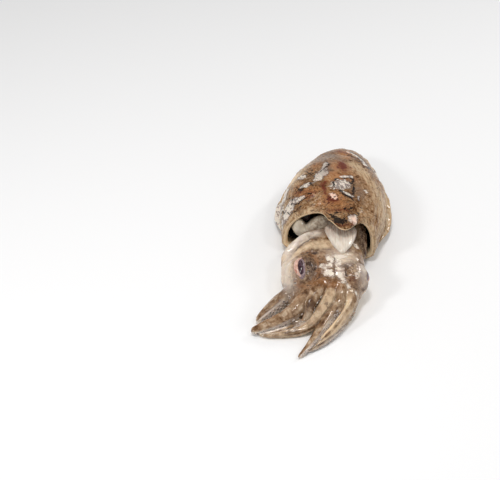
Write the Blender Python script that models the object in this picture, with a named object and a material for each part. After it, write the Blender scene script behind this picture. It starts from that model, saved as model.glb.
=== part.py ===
"""Whole raw cuttlefish, lying on its belly: one closed solid.

The mantle is a bag, open at the front, with a dorsal lobe over the nape and a fin along each side. The head
stands out of the bag on its neck, with a bulging eye on each side, and eight short arms spread from its crown.
+Y runs from the arms to the tail, +Z is up, and the origin is on the table under the middle of the body.
Sizes are in millimetres; MM turns them into metres where the points are made.
"""

import math
from bisect import bisect_right

import bmesh
import bpy
import numpy as np
from mathutils import Matrix, Vector

MM = 0.001
# From the frame that the shapes are sized in to the object's own, whose origin is midway along and across.
TO_ORIGIN = (-0.46, -0.92, 0.0)

# Mantle, in its own frame: away from the opening along its length, across to the right, and up.
MANTLE_LENGTH = 137.0
MANTLE_HEADING = math.radians(11.0)
MANTLE_FRONT = (0.6, -2.6, 0.0)
# Thickness of the lip at the top and at the sides, and how much thicker the wall is behind it.
LIP_TOP, LIP_SIDE = 3.0, 6.5
WALL_SWELL = 1.1
# How much squarer than an oval the mouth's right side is.
SQUARENESS = 0.26
CAVITY_SHARE = 0.25
LOBE_LENGTH = 20.0
LOBE_TURN = math.radians(76.0)
LOBE_SPREAD = math.radians(16.5)
MARGIN_HEIGHT = 13.0
# Share of the way from tail to lip, then middle, half-width, top and underside there.
MANTLE_STATIONS = (
    (0.00, 0.0, 0.0, 13.0, 13.0),
    (0.10, 0.0, 9.0, 18.5, 7.0),
    (0.25, 0.3, 18.0, 25.0, 2.0),
    (0.45, 0.0, 30.0, 34.0, -1.5),
    (0.65, 1.0, 41.5, 43.0, -2.0),
    (0.85, 2.0, 45.0, 47.0, -2.0),
    (1.00, 3.4, 39.6, 46.3, -1.5),
)

# Fins: a soft ribbon along each side of the mantle, from behind the lip to the tail, 1 right and -1 left.
# Reach and height are those at the front end, then at the tail.
FIN_REACH = {1: (6.5, 5.0), -1: (8.5, 4.0)}
FIN_HEIGHT = {1: (8.0, 17.0), -1: (8.0, 13.0)}
FIN_THICKNESS = 2.4
FIN_DROOP = 0.35
FIN_WAVE = 1.3
FIN_WAVES = 6.5
FIN_SPAN = (0.93, 0.07)

# The core: neck, head and crown in one. Share of its length, then centre, half-width and half-height.
CORE_STATIONS = (
    (0.00, (10.0, 58.0, 18.0), 17.0, 12.0),
    (0.25, (5.0, 16.0, 18.0), 22.0, 12.0),
    (0.42, (3.0, -9.0, 18.0), 25.0, 13.0),
    (0.56, (-1.0, -29.0, 17.0), 32.0, 15.0),
    (0.70, (-3.0, -50.0, 16.0), 34.0, 15.5),
    (0.85, (-3.5, -74.0, 13.5), 30.0, 14.0),
    (1.00, (-7.0, -97.0, 9.0), 18.0, 8.0),
)

# Round masses on the core: centre, then half-sizes across, along and up.
BULGES = {
    "left_eye": ((-19.0, -54.0, 18.5), (15.0, 18.0, 16.0)),
    "right_eye": ((18.0, -57.0, 17.5), (14.5, 17.0, 15.0)),
    "nape_shield": ((10.5, -25.0, 28.0), (12.5, 19.0, 6.5)),
}

# Soft tubes: points from root to end, then the radius at each. The first and last ends are rounded.
ARM_AROUND = 12
ARM_ROWS = 19
ARMS = {
    "arm_left_rear": (
        ((-20, -60, 15), (-29, -69, 12), (-38, -75, 9), (-47, -83, 6), (-55.5, -91, 3.5)),
        (8.5, 7.5, 6.0, 5.0, 3.6),
    ),
    "arm_left_front": (
        ((-10, -72, 18), (-19, -83, 18), (-29, -93, 13), (-40.5, -97, 8), (-52, -100.5, 5), (-60, -102.7, 3.5)),
        (8.0, 7.0, 6.2, 5.2, 4.2, 3.2),
    ),
    "arm_middle": (
        ((-2, -68, 25), (-9, -80, 25), (-14.5, -88, 20), (-17, -92.5, 12), (-18, -96.5, 5)),
        (6.5, 6.0, 5.0, 4.2, 3.0),
    ),
    "arm_inner": (
        ((4, -70, 22), (0, -83, 21), (-5, -90, 15), (-12, -96, 8), (-21, -102, 4.5), (-35, -105, 3), (-51, -106.5, 2)),
        (7.5, 7.0, 6.0, 5.0, 3.8, 2.8, 1.6),
    ),
    "arm_right_inner": (
        ((7, -68, 20), (6, -84, 18), (1, -94, 12.5), (-6, -104.5, 7.5), (-14, -117, 4.5), (-25, -130.5, 2)),
        (8.0, 7.0, 5.8, 5.0, 3.8, 1.4),
    ),
    "arm_right_outer": (
        ((15, -60, 16), (15, -77, 15), (11, -88, 11), (3, -101, 7), (-7, -112.5, 4.5), (-19, -124, 2.5)),
        (9.0, 8.0, 6.4, 5.2, 4.0, 1.8),
    ),
    "arm_right_under": (
        ((18, -56, 9), (18, -72, 8), (13, -86, 5), (4, -102, 3.5), (-7, -115, 2.5), (-17, -123, 1.5)),
        (8.0, 7.0, 5.4, 4.2, 3.0, 1.8),
    ),
    "arm_left_under": (
        ((-12, -66, 9), (-18, -80, 8), (-25, -90, 5), (-34, -98.5, 3.5), (-45, -103, 2.5), (-54, -105, 2)),
        (8.5, 7.5, 5.6, 4.4, 3.2, 1.8),
    ),
}
FOLDS = {
    "collar": (
        ((-21, 11, 20), (-20, 3, 21), (-13, -2, 19), (-5, -3, 23), (3, -6, 25), (12, 0, 24)),
        (7.5, 8.6, 6.8, 9.0, 10.0, 9.0),
    ),
    "neck_muscle": (
        ((20, 14, 26), (25.5, -2, 26), (27.0, -9, 18), (26.5, -15, 10), (19, -22, 8)),
        (6.0, 5.0, 4.6, 5.0, 6.0),
    ),
    "nape_fold": (
        ((-10, -13, 27), (-16, -17, 28), (-24, -23, 25), (-31, -30, 19), (-33, -40, 13)),
        (4.0, 4.4, 4.4, 4.4, 4.0),
    ),
}

# Rows and columns of the larger skins.
MANTLE_AROUND, MANTLE_ROWS = 44, 40
CORE_AROUND, CORE_ROWS = 30, 24
BULGE_AROUND, BULGE_ROWS = 16, 12
FIN_AROUND, FIN_ROWS = 8, 54
FOLD_AROUND, FOLD_ROWS = 12, 14
END_ROUNDING = 2.6

SKIN = {"name": "raw_skin", "colour": (0.34, 0.22, 0.14, 1.0), "roughness": 0.3}


def smooth(stations, place):
    """Values at a place on the smooth curve through (place, values) stations."""
    places = [station[0] for station in stations]
    values = np.array([np.hstack(station[1:]) for station in stations], float)
    slopes = np.gradient(values, places, axis=0)
    start = min(max(bisect_right(places, place) - 1, 0), len(places) - 2)
    gap = places[start + 1] - places[start]
    u = min(max((place - places[start]) / gap, 0.0), 1.0)
    value = (
        (2 * u**3 - 3 * u**2 + 1) * values[start]
        + (u**3 - 2 * u**2 + u) * gap * slopes[start]
        + (3 * u**2 - 2 * u**3) * values[start + 1]
        + (u**3 - u**2) * gap * slopes[start + 1]
    )
    return value.tolist()


def skin(name, around, rows, place):
    """A closed skin: a ball whose rows of points are drawn out from one end of the shape to the other.

    place(share, turn) gives the point at a share of the way from end to end, and at a turn about the middle.
    """
    shape = bmesh.new()
    bmesh.ops.create_uvsphere(shape, u_segments=around, v_segments=rows, radius=1.0)
    for vert in shape.verts:
        share = math.acos(min(max(vert.co.z, -1.0), 1.0)) / math.pi
        vert.co = Vector(place(share, math.atan2(vert.co.y, vert.co.x))) * MM
    bmesh.ops.recalc_face_normals(shape, faces=shape.faces)
    mesh = bpy.data.meshes.new(name)
    shape.to_mesh(mesh)
    shape.free()
    return bpy.data.objects.new(name, mesh)


def round_end(share):
    """One along the middle of a tube, and falling to nothing at both ends as a round cap does."""
    return math.tanh(END_ROUNDING * math.sin(math.pi * share))


def between(ends, share):
    """The value at a share of the way from the first end to the last."""
    return ends[0] + (ends[1] - ends[0]) * share


def along_body(share):
    """Share of a tube's length, with its rows drawn together at the two ends."""
    return (1 - math.cos(math.pi * share)) / 2


def rim_setback(turn):
    """How far the lip is set back from the mouth's plane. The lobe stands forward of it, so there this is negative."""
    from_lobe = math.remainder(turn - LOBE_TURN, math.tau)
    return -LOBE_LENGTH * math.exp(-(abs(from_lobe / LOBE_SPREAD) ** 2.3))


def mantle_section(to_lip, inset):
    """Middle, half-width, top and underside of the mantle at a share of the way from tail to lip."""
    middle, width, top, under = smooth(MANTLE_STATIONS, to_lip)
    return middle, max(width - inset, 0.0), top - inset, under + inset


def mantle_point(to_lip, turn, inset, closing=1.0, forward=0.0):
    """A point of the mantle in its own frame, inset from its outer skin."""
    middle, width, top, under = mantle_section(to_lip, inset)
    rise, reach = math.sin(turn), math.cos(turn)
    square = SQUARENESS * to_lip**4 if reach > 0 else 0.0
    height = top - MARGIN_HEIGHT if rise > 0 else MARGIN_HEIGHT - under
    lift = math.copysign(abs(rise) ** (0.9 - square if rise > 0 else 0.6), rise)
    to_tail = math.cos(math.pi / 2 * to_lip)
    away = MANTLE_LENGTH * to_tail + rim_setback(turn) * (1 - to_tail) - forward
    across = middle + width * closing * math.copysign(abs(reach) ** (1 - square), reach)
    return away, across, MARGIN_HEIGHT + height * closing * lift


def to_body(away, across, up):
    """A point of the mantle's own frame, in the body's frame."""
    turned = Matrix.Rotation(-MANTLE_HEADING, 3, "Z") @ Vector((across, away, up))
    return turned + Vector(MANTLE_FRONT)


def mantle_wall(share, turn):
    """The mantle's skin: outside from tail to lip, round the lip, then inside to the end of its hollow."""
    outside, lip = 0.56, 0.68
    if share <= outside:
        return to_body(*mantle_point(share / outside, turn, 0.0))
    thickness = between((LIP_TOP, LIP_SIDE), math.cos(turn) ** 2)
    if share <= lip:
        roll = math.pi * (share - outside) / (lip - outside)
        inset = thickness / 2 * (1 - math.cos(roll))
        return to_body(*mantle_point(1.0, turn, inset, forward=thickness / 2 * math.sin(roll)))
    depth = (share - lip) / (1 - lip)
    inset = thickness + WALL_SWELL * min(2 * depth, 1.0)
    to_lip = 1 - CAVITY_SHARE * math.sin(math.pi / 2 * depth)
    return to_body(*mantle_point(to_lip, turn, inset, closing=math.cos(math.pi / 2 * depth**3)))


def make_mantle():
    """The bag of the mantle, open at the front."""
    return skin("mantle", MANTLE_AROUND, MANTLE_ROWS, mantle_wall)


def make_fin(side):
    """The fin on one side: 1 is the right, -1 the left."""

    def place(share, turn):
        first, last = FIN_SPAN
        to_lip = first + (last - first) * share
        away, margin, _ = mantle_point(to_lip, 0.0 if side > 0 else math.pi, 0.0)
        reach = between(FIN_REACH[side], share) * round_end(share) * math.cos(turn)
        thick = FIN_THICKNESS / 2 * math.sin(turn) * round_end(share)
        wave = FIN_WAVE * math.sin(math.tau * FIN_WAVES * share)
        height = between(FIN_HEIGHT[side], share) + wave - FIN_DROOP * reach + thick
        return to_body(away, margin + side * (reach - 1.0), height)

    return skin(f"fin_{side}", FIN_AROUND, FIN_ROWS, place)


def make_core():
    """Neck, head and crown."""

    def place(share, turn):
        x, y, z, width, height = smooth(CORE_STATIONS, along_body(share))
        cap = round_end(share)
        return x + width * cap * math.cos(turn), y, z + height * cap * math.sin(turn)

    return skin("core", CORE_AROUND, CORE_ROWS, place)


def make_bulge(name, centre, half_sizes):
    """An egg-shaped mass."""

    def place(share, turn):
        ring = math.sin(math.pi * share)
        unit = (ring * math.cos(turn), math.cos(math.pi * share), ring * math.sin(turn))
        return Vector(centre) + Vector(a * b for a, b in zip(unit, half_sizes))

    return skin(name, BULGE_AROUND, BULGE_ROWS, place)


def make_tube(name, route, radii, around, rows):
    """A soft tube along a smooth route, lying level across its width."""
    last = len(route) - 1
    stations = [(i / last, point, radius) for i, (point, radius) in enumerate(zip(route, radii))]
    step = 0.01

    def place(share, turn):
        at = along_body(share)
        x, y, z, radius = smooth(stations, at)
        ahead = Vector(smooth(stations, min(at + step, 1.0))[:3])
        behind = Vector(smooth(stations, max(at - step, 0.0))[:3])
        heading = (ahead - behind).normalized()
        across = heading.cross(Vector((0, 0, 1))).normalized()
        over = across.cross(heading)
        size = radius * round_end(share)
        return Vector((x, y, z)) + size * (math.cos(turn) * across + math.sin(turn) * over)

    return skin(name, around, rows, place)


def join(name, parts):
    """One solid from overlapping parts, by one Boolean union on a collection."""
    whole = parts[0]
    whole.name = name
    bpy.context.scene.collection.objects.link(whole)
    others = bpy.data.collections.new("joined_parts")
    bpy.context.scene.collection.children.link(others)
    for part in parts[1:]:
        others.objects.link(part)
    union = whole.modifiers.new("union", "BOOLEAN")
    union.operation = "UNION"
    union.operand_type = "COLLECTION"
    union.collection = others
    union.solver = "EXACT"
    bpy.context.view_layer.update()
    evaluated = whole.evaluated_get(bpy.context.evaluated_depsgraph_get())
    mesh = bpy.data.meshes.new_from_object(evaluated)
    whole.modifiers.remove(union)
    whole.data = mesh
    for part in parts[1:]:
        bpy.data.objects.remove(part)
    bpy.data.collections.remove(others)
    return whole


def press_flat(whole):
    """Cuts the underside level where the soft body lies on the table, closes the cuts, and centres the body."""
    shape = bmesh.new()
    shape.from_mesh(whole.data)
    everything = shape.verts[:] + shape.edges[:] + shape.faces[:]
    cut = bmesh.ops.bisect_plane(
        shape, geom=everything, dist=1e-7, plane_co=(0, 0, 0), plane_no=(0, 0, 1), clear_inner=True
    )
    edges = [item for item in cut["geom_cut"] if isinstance(item, bmesh.types.BMEdge)]
    bmesh.ops.holes_fill(shape, edges=edges, sides=0)
    bmesh.ops.triangulate(shape, faces=shape.faces)
    bmesh.ops.translate(shape, verts=shape.verts, vec=Vector(TO_ORIGIN) * MM)
    shape.to_mesh(whole.data)
    shape.free()


def skin_material():
    """Wet brown skin."""
    material = bpy.data.materials.new(SKIN["name"])
    material.use_nodes = True
    shader = material.node_tree.nodes["Principled BSDF"]
    shader.inputs["Base Color"].default_value = SKIN["colour"]
    shader.inputs["Roughness"].default_value = SKIN["roughness"]
    shader.inputs["Metallic"].default_value = 0.0
    return material


def main():
    for obj in list(bpy.data.objects):
        bpy.data.objects.remove(obj)
    parts = [make_mantle(), make_core()]
    parts += [make_fin(side) for side in (1, -1)]
    parts += [make_bulge(name, *sizes) for name, sizes in BULGES.items()]
    parts += [make_tube(name, *sizes, FOLD_AROUND, FOLD_ROWS) for name, sizes in FOLDS.items()]
    parts += [make_tube(name, *sizes, ARM_AROUND, ARM_ROWS) for name, sizes in ARMS.items()]
    cuttlefish = join("cuttlefish", parts)
    press_flat(cuttlefish)
    cuttlefish.data.materials.clear()
    cuttlefish.data.materials.append(skin_material())
    cuttlefish.data.shade_smooth()


main()
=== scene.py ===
"""Looks of a whole raw cuttlefish that lies on its belly on a plain pale floor.

Every piece is shaped in millimetres, in the frame that the solid's own shapes are sized in: +Y from the
arms to the tail, +X to the right, +Z up. It is moved by TO_ORIGIN and turned into metres when its mesh is
finished. Marks on the skin are worked out for each point of a mesh and kept in colour attributes, whose
channels the finishes turn into peeled patches, stains and streaks with edges of their own, and into
painted highlights on the head and painted shade in the mantle's hollow, in creases, in the suckers' cups
and in the mouth.
"""

import logging
import math
from collections.abc import Callable, Sequence
from dataclasses import dataclass, field
from enum import Enum

import bmesh
import bpy
import numpy as np
from mathutils import Matrix, Vector, noise
from mathutils.bvhtree import BVHTree


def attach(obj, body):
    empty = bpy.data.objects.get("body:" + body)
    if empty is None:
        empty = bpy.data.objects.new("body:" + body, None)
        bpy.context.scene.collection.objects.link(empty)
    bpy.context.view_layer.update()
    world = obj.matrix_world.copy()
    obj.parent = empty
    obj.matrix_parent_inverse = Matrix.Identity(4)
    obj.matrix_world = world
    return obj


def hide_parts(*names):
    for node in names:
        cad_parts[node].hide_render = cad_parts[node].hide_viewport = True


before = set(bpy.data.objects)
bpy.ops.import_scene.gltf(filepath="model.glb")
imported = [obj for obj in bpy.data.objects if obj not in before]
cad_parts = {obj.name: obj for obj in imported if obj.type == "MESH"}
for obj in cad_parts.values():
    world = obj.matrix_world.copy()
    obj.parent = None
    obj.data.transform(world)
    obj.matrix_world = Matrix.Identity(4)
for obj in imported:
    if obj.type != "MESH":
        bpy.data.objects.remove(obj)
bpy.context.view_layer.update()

logging.basicConfig(level=logging.INFO, format="%(message)s")
LOG = logging.getLogger("cuttlefish")

MM = 0.001
BODY = "root"
NODE = "cuttlefish"
# From the frame that the shapes are sized in to the object's own, in millimetres.
TO_ORIGIN = np.array((-0.46, -0.92, 0.0))

# How much brighter than its base colour a level face looks under the studio's light, what its gloss adds,
# and the darkest base colour.
LIGHT = 1.12
GLOSS = 0.02
DARKEST = 0.004
# How far apart the patterns of two seeds are read from the noise.
SEED_STEP = 13.7

Points = np.ndarray
Values = np.ndarray
Colour = tuple[float, float, float, float]
Pair = tuple[float, float]
Triple = tuple[float, float, float]
Mass = tuple[Triple, Triple]
Shape = bmesh.types.BMesh
Socket = bpy.types.NodeSocket


class Side(Enum):
    """A side of the animal, as the sign of X there."""

    LEFT = -1
    RIGHT = 1


class Mark(Enum):
    """A mark on the skin: the attribute that keeps it, and its channel there."""

    # Peeled skin, and on the head also white patches painted as wet highlights.
    PEEL = ("marks", "Red")
    RUSSET = ("marks", "Green")
    # Dark pigment, and painted shade along the arms' sucker sides and in the fins' folds.
    INK = ("marks", "Blue")
    CREAM = ("tones", "Red")
    ORANGE = ("tones", "Green")
    GREY = ("tones", "Blue")
    FLESH = ("parts", "Red")
    # Painted shade inside the mantle's hollow.
    HOLLOW = ("parts", "Green")
    # Streaks, and painted shade in creases, in the suckers' cups, in the mouth and under the mantle's lobe.
    STREAK = ("parts", "Blue")


# Marks with an edge keep half at the edge and more inside; the others are plain shares.
EDGED = (Mark.PEEL, Mark.RUSSET, Mark.INK)
CHANNELS = ("Red", "Green", "Blue")


def seen(red: int, green: int, blue: int) -> Colour:
    """The base colour of wet flesh that looks like a given colour under the studio's light.

    Args:
        red: Red as the eye reads it, 0 to 255.
        green: Green, 0 to 255.
        blue: Blue, 0 to 255.

    Returns:
        Linear red, green and blue, and an alpha of one.
    """
    shares = [value / 255 for value in (red, green, blue)]
    linear = [s / 12.92 if s <= 0.04045 else ((s + 0.055) / 1.055) ** 2.4 for s in shares]
    lit = [max((value - GLOSS) / LIGHT, DARKEST) for value in linear]
    return lit[0], lit[1], lit[2], 1.0


def step(values: Values, low: float, high: float) -> Values:
    """A smooth rise from nothing at low to one at high, or a fall where high is the lower."""
    share = np.clip((values - low) / (high - low), 0.0, 1.0)
    return share * share * (3 - 2 * share)


def hump(values: Values, middle: float, width: float) -> Values:
    """One at the middle, falling away on both sides over a width."""
    return np.exp(-(((values - middle) / width) ** 2))


def ripple(points: Points, size: float | Sequence[float], seed: float = 0.0) -> Values:
    """Smooth noise from about -1 to 1, which changes over a size for all axes or for each."""
    scaled = points / np.asarray(size) + seed * SEED_STEP
    return np.array([noise.noise(place) for place in scaled.tolist()])


def rough_ripple(points: Points, size: float | Sequence[float], seed: float = 0.0) -> Values:
    """Smooth noise from about -1 to 1 with finer noise in it."""
    scaled = points / np.asarray(size) + seed * SEED_STEP
    return np.array([noise.fractal(place, 0.9, 2.1, 4) for place in scaled.tolist()])


def ridges(points: Points, size: float | Sequence[float], seed: float = 0.0) -> Values:
    """Narrow lines that wander as wrinkles do: one on a line, and nothing between lines."""
    return np.clip(1 - 2.6 * np.abs(ripple(points, size, seed)), 0.0, 1.0) ** 2


@dataclass(frozen=True)
class Track:
    """A smooth curve through stations: each a place, then the values there."""

    stations: tuple[tuple[float, ...], ...]

    def at(self, places: Values) -> Values:
        """The values at each place.

        Args:
            places: Places along the curve, held to its two ends.

        Returns:
            One row of values for each place.
        """
        table = np.array(self.stations, float)
        knots, values = table[:, 0], table[:, 1:]
        slopes = np.gradient(values, knots, axis=0)
        start = np.clip(np.searchsorted(knots, places, side="right") - 1, 0, len(knots) - 2)
        gap = (knots[start + 1] - knots[start])[:, None]
        u = np.clip((places - knots[start])[:, None] / gap, 0.0, 1.0)
        return (
            (2 * u**3 - 3 * u**2 + 1) * values[start]
            + (u**3 - 2 * u**2 + u) * gap * slopes[start]
            + (3 * u**2 - 2 * u**3) * values[start + 1]
            + (u**3 - u**2) * gap * slopes[start + 1]
        )


Place = Callable[[Values, Values], Points]


def drawn_ball(around: int, rows: int, place: Place) -> tuple[Shape, Values, Values]:
    """A ball whose rows of points are drawn out from one end of a shape to the other.

    Args:
        around: Points in a row.
        rows: Rows from end to end.
        place: Gives points from their shares of the way from end to end and their turns about the middle.

    Returns:
        The shape in millimetres, and the share and the turn of each point.
    """
    shape = bmesh.new()
    bmesh.ops.create_uvsphere(shape, u_segments=around, v_segments=rows, radius=1.0)
    ball = np.array([vert.co for vert in shape.verts])
    shares = np.arccos(np.clip(ball[:, 2], -1.0, 1.0)) / math.pi
    turns = np.arctan2(ball[:, 1], ball[:, 0])
    for vert, point in zip(shape.verts, place(shares, turns).tolist()):
        vert.co = point
    bmesh.ops.recalc_face_normals(shape, faces=shape.faces)
    return shape, shares, turns


def round_end(shares: Values, sharpness: float = 2.6) -> Values:
    """One along the middle of a tube, and falling to nothing at both ends as a round cap does."""
    return np.tanh(sharpness * np.sin(math.pi * shares))


def along_body(shares: Values) -> Values:
    """Shares of a tube's length, with its rows drawn together at the two ends."""
    return (1 - np.cos(math.pi * shares)) / 2


@dataclass
class Piece:
    """A mesh under way, in millimetres, with the marks painted on it."""

    name: str
    mesh: bpy.types.Mesh
    paint: dict[Mark, Values] = field(default_factory=dict)

    @classmethod
    def from_shape(cls, name: str, shape: Shape) -> "Piece":
        """A piece from a shape, which is freed.

        Args:
            name: The piece's name.
            shape: Its shape in millimetres.

        Returns:
            The piece, with nothing painted on it.
        """
        mesh = bpy.data.meshes.new(name)
        shape.to_mesh(mesh)
        shape.free()
        return cls(name, mesh)

    def points(self) -> Points:
        """The places of its points.

        Returns:
            One row for each point of the mesh, in millimetres.
        """
        flat = np.empty(len(self.mesh.vertices) * 3, np.float32)
        self.mesh.vertices.foreach_get("co", flat)
        return flat.reshape(-1, 3).astype(float)

    def normals(self) -> Points:
        """The outward directions at its points.

        Returns:
            One row for each point of the mesh, of length one.
        """
        flat = np.empty(len(self.mesh.vertices) * 3, np.float32)
        self.mesh.vertex_normals.foreach_get("vector", flat)
        return flat.reshape(-1, 3).astype(float)

    def move(self, points: Points) -> None:
        """Puts its points in new places."""
        self.mesh.vertices.foreach_set("co", points.astype(np.float32).ravel())
        self.mesh.update()

    def swell(self, heights: Values) -> None:
        """Raises its points off the surface by heights, or sinks them where those are negative."""
        self.move(self.points() + heights[:, None] * self.normals())

    def settle(self, gap: float = 0.05) -> None:
        """Presses level what would reach below a small gap over the table.

        Args:
            gap: How far above the table its lowest points may come, in millimetres.
        """
        points = self.points()
        points[:, 2] = np.maximum(points[:, 2], gap)
        self.move(points)

    def add(self, mark: Mark, values: Values) -> None:
        """Paints a mark, 0 to 1 for each point, over what it already has of it."""
        had = self.paint.get(mark, np.zeros(len(values)))
        self.paint[mark] = np.maximum(had, np.clip(values, 0.0, 1.0))

    def dull(self, mark: Mark, shares: Values) -> None:
        """Takes away these shares of a mark."""
        if mark in self.paint:
            self.paint[mark] = self.paint[mark] * (1 - np.clip(shares, 0.0, 1.0))

    def finish(self, material: bpy.types.Material) -> bpy.types.Object:
        """Makes the object: paint as attributes, metres, the object's own frame, and its place on the body.

        Args:
            material: Its finish.

        Returns:
            The finished object.
        """
        count = len(self.mesh.vertices)
        for attribute in sorted({mark.value[0] for mark in self.paint}):
            colours = np.zeros((count, 4), np.float32)
            colours[:, 3] = 1.0
            for mark, values in self.paint.items():
                if mark.value[0] == attribute:
                    colours[:, CHANNELS.index(mark.value[1])] = values
            layer = self.mesh.color_attributes.new(attribute, "FLOAT_COLOR", "POINT")
            layer.data.foreach_set("color", colours.ravel())
        self.move((self.points() + TO_ORIGIN) * MM)
        self.mesh.materials.append(material)
        self.mesh.shade_smooth()
        made = bpy.data.objects.new(self.name, self.mesh)
        bpy.context.scene.collection.objects.link(made)
        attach(made, BODY)
        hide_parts(NODE)
        LOG.info("%s: %d faces", self.name, len(self.mesh.polygons))
        return made


def laid(mark: Mark, away: Values) -> Values:
    """How a mark falls off away from its middle: half at its edge if it has one, and softly if not.

    Args:
        mark: The patch or stroke.
        away: How far from its middle, as a share of its reach.

    Returns:
        How strong it is there.
    """
    if mark in EDGED:
        return np.clip(1 - 0.5 * away, 0.0, 1.0)
    return np.exp(-0.7 * away**2)


@dataclass(frozen=True)
class Patch:
    """An oval mark on the skin, laid out in plan."""

    mark: Mark
    x: float
    y: float
    half_across: float
    half_along: float
    turn: float = 0.0
    strength: float = 1.0

    def paint(self, piece: Piece, points: Points, shown: Values) -> None:
        """Paints the mark on a piece.

        Args:
            piece: What it is painted on.
            points: Where each point of the piece is read from, which may be shifted to roughen the outline.
            shown: The share of the mark that each point may take.
        """
        angle = math.radians(self.turn)
        across, along = points[:, 0] - self.x, points[:, 1] - self.y
        u = (across * math.cos(angle) + along * math.sin(angle)) / self.half_across
        v = (along * math.cos(angle) - across * math.sin(angle)) / self.half_along
        piece.add(self.mark, self.strength * laid(self.mark, np.hypot(u, v)) * shown)


@dataclass(frozen=True)
class Stroke:
    """A mark along a line on the skin, laid out in plan."""

    mark: Mark
    path: tuple[Pair, ...]
    half_width: float
    strength: float = 1.0

    def paint(self, piece: Piece, points: Points, shown: Values) -> None:
        """Paints the mark on a piece.

        Args:
            piece: What it is painted on.
            points: Where each point of the piece is read from, which may be shifted to roughen the outline.
            shown: The share of the mark that each point may take.
        """
        flat = points[:, :2]
        away = np.full(len(flat), np.inf)
        for start, end in zip(np.array(self.path[:-1]), np.array(self.path[1:])):
            run = end - start
            share = np.clip((flat - start) @ run / (run @ run), 0.0, 1.0)
            away = np.minimum(away, np.linalg.norm(flat - start - share[:, None] * run, axis=1))
        piece.add(self.mark, self.strength * laid(self.mark, away / self.half_width) * shown)


def patches(mark: Mark, *rows: tuple[float, ...]) -> tuple[Patch, ...]:
    """Patches of one mark, each from its place, half sizes, turn and strength."""
    return tuple(Patch(mark, *row) for row in rows)


def strokes(mark: Mark, *rows: tuple) -> tuple[Stroke, ...]:
    """Strokes of one mark, each from its path, half width and strength."""
    return tuple(Stroke(mark, *row) for row in rows)


def oval(
    x: float, y: float, across: float, along: float, start: float = 0.0, end: float = 360.0, count: int = 25
) -> tuple[Pair, ...]:
    """Points round an oval in plan, from one angle to another in degrees.

    Args:
        x: Its middle.
        y: Its middle.
        across: Half its size across.
        along: Half its size along.
        start: Where it starts, 0 to the right and 90 to the tail.
        end: Where it ends.
        count: How many points.

    Returns:
        The points.
    """
    angles = np.radians(np.linspace(start, end, count))
    return tuple((x + across * math.cos(angle), y + along * math.sin(angle)) for angle in angles)


def roughened(points: Points, far: float, size: float) -> Points:
    """Points shifted a little, each a different way, so that what is laid out by them gets a ragged edge.

    Args:
        points: The points.
        far: How far they are shifted at most.
        size: The distance over which the shift changes.

    Returns:
        The shifted points.
    """
    coarse = np.stack([ripple(points, size, seed) for seed in (11, 12, 13)], axis=1)
    fine = np.stack([ripple(points, size * 0.4, seed) for seed in (14, 15, 16)], axis=1)
    return points + far * (coarse + 0.6 * fine)


class Surface:
    """A piece's surface, for finding where other pieces sit on it."""

    def __init__(self, piece: Piece) -> None:
        """Takes the piece as it is now."""
        corners = [tuple(face.vertices) for face in piece.mesh.polygons]
        self.tree = BVHTree.FromPolygons(piece.points().tolist(), corners)

    def out_from(self, place: Sequence[float], way: Sequence[float]) -> tuple[Vector, Vector] | None:
        """The point where a ray from inside comes out and the normal there, if it does."""
        point, normal, _, _ = self.tree.ray_cast(Vector(place), Vector(way).normalized())
        return None if point is None else (point, normal)


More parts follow.
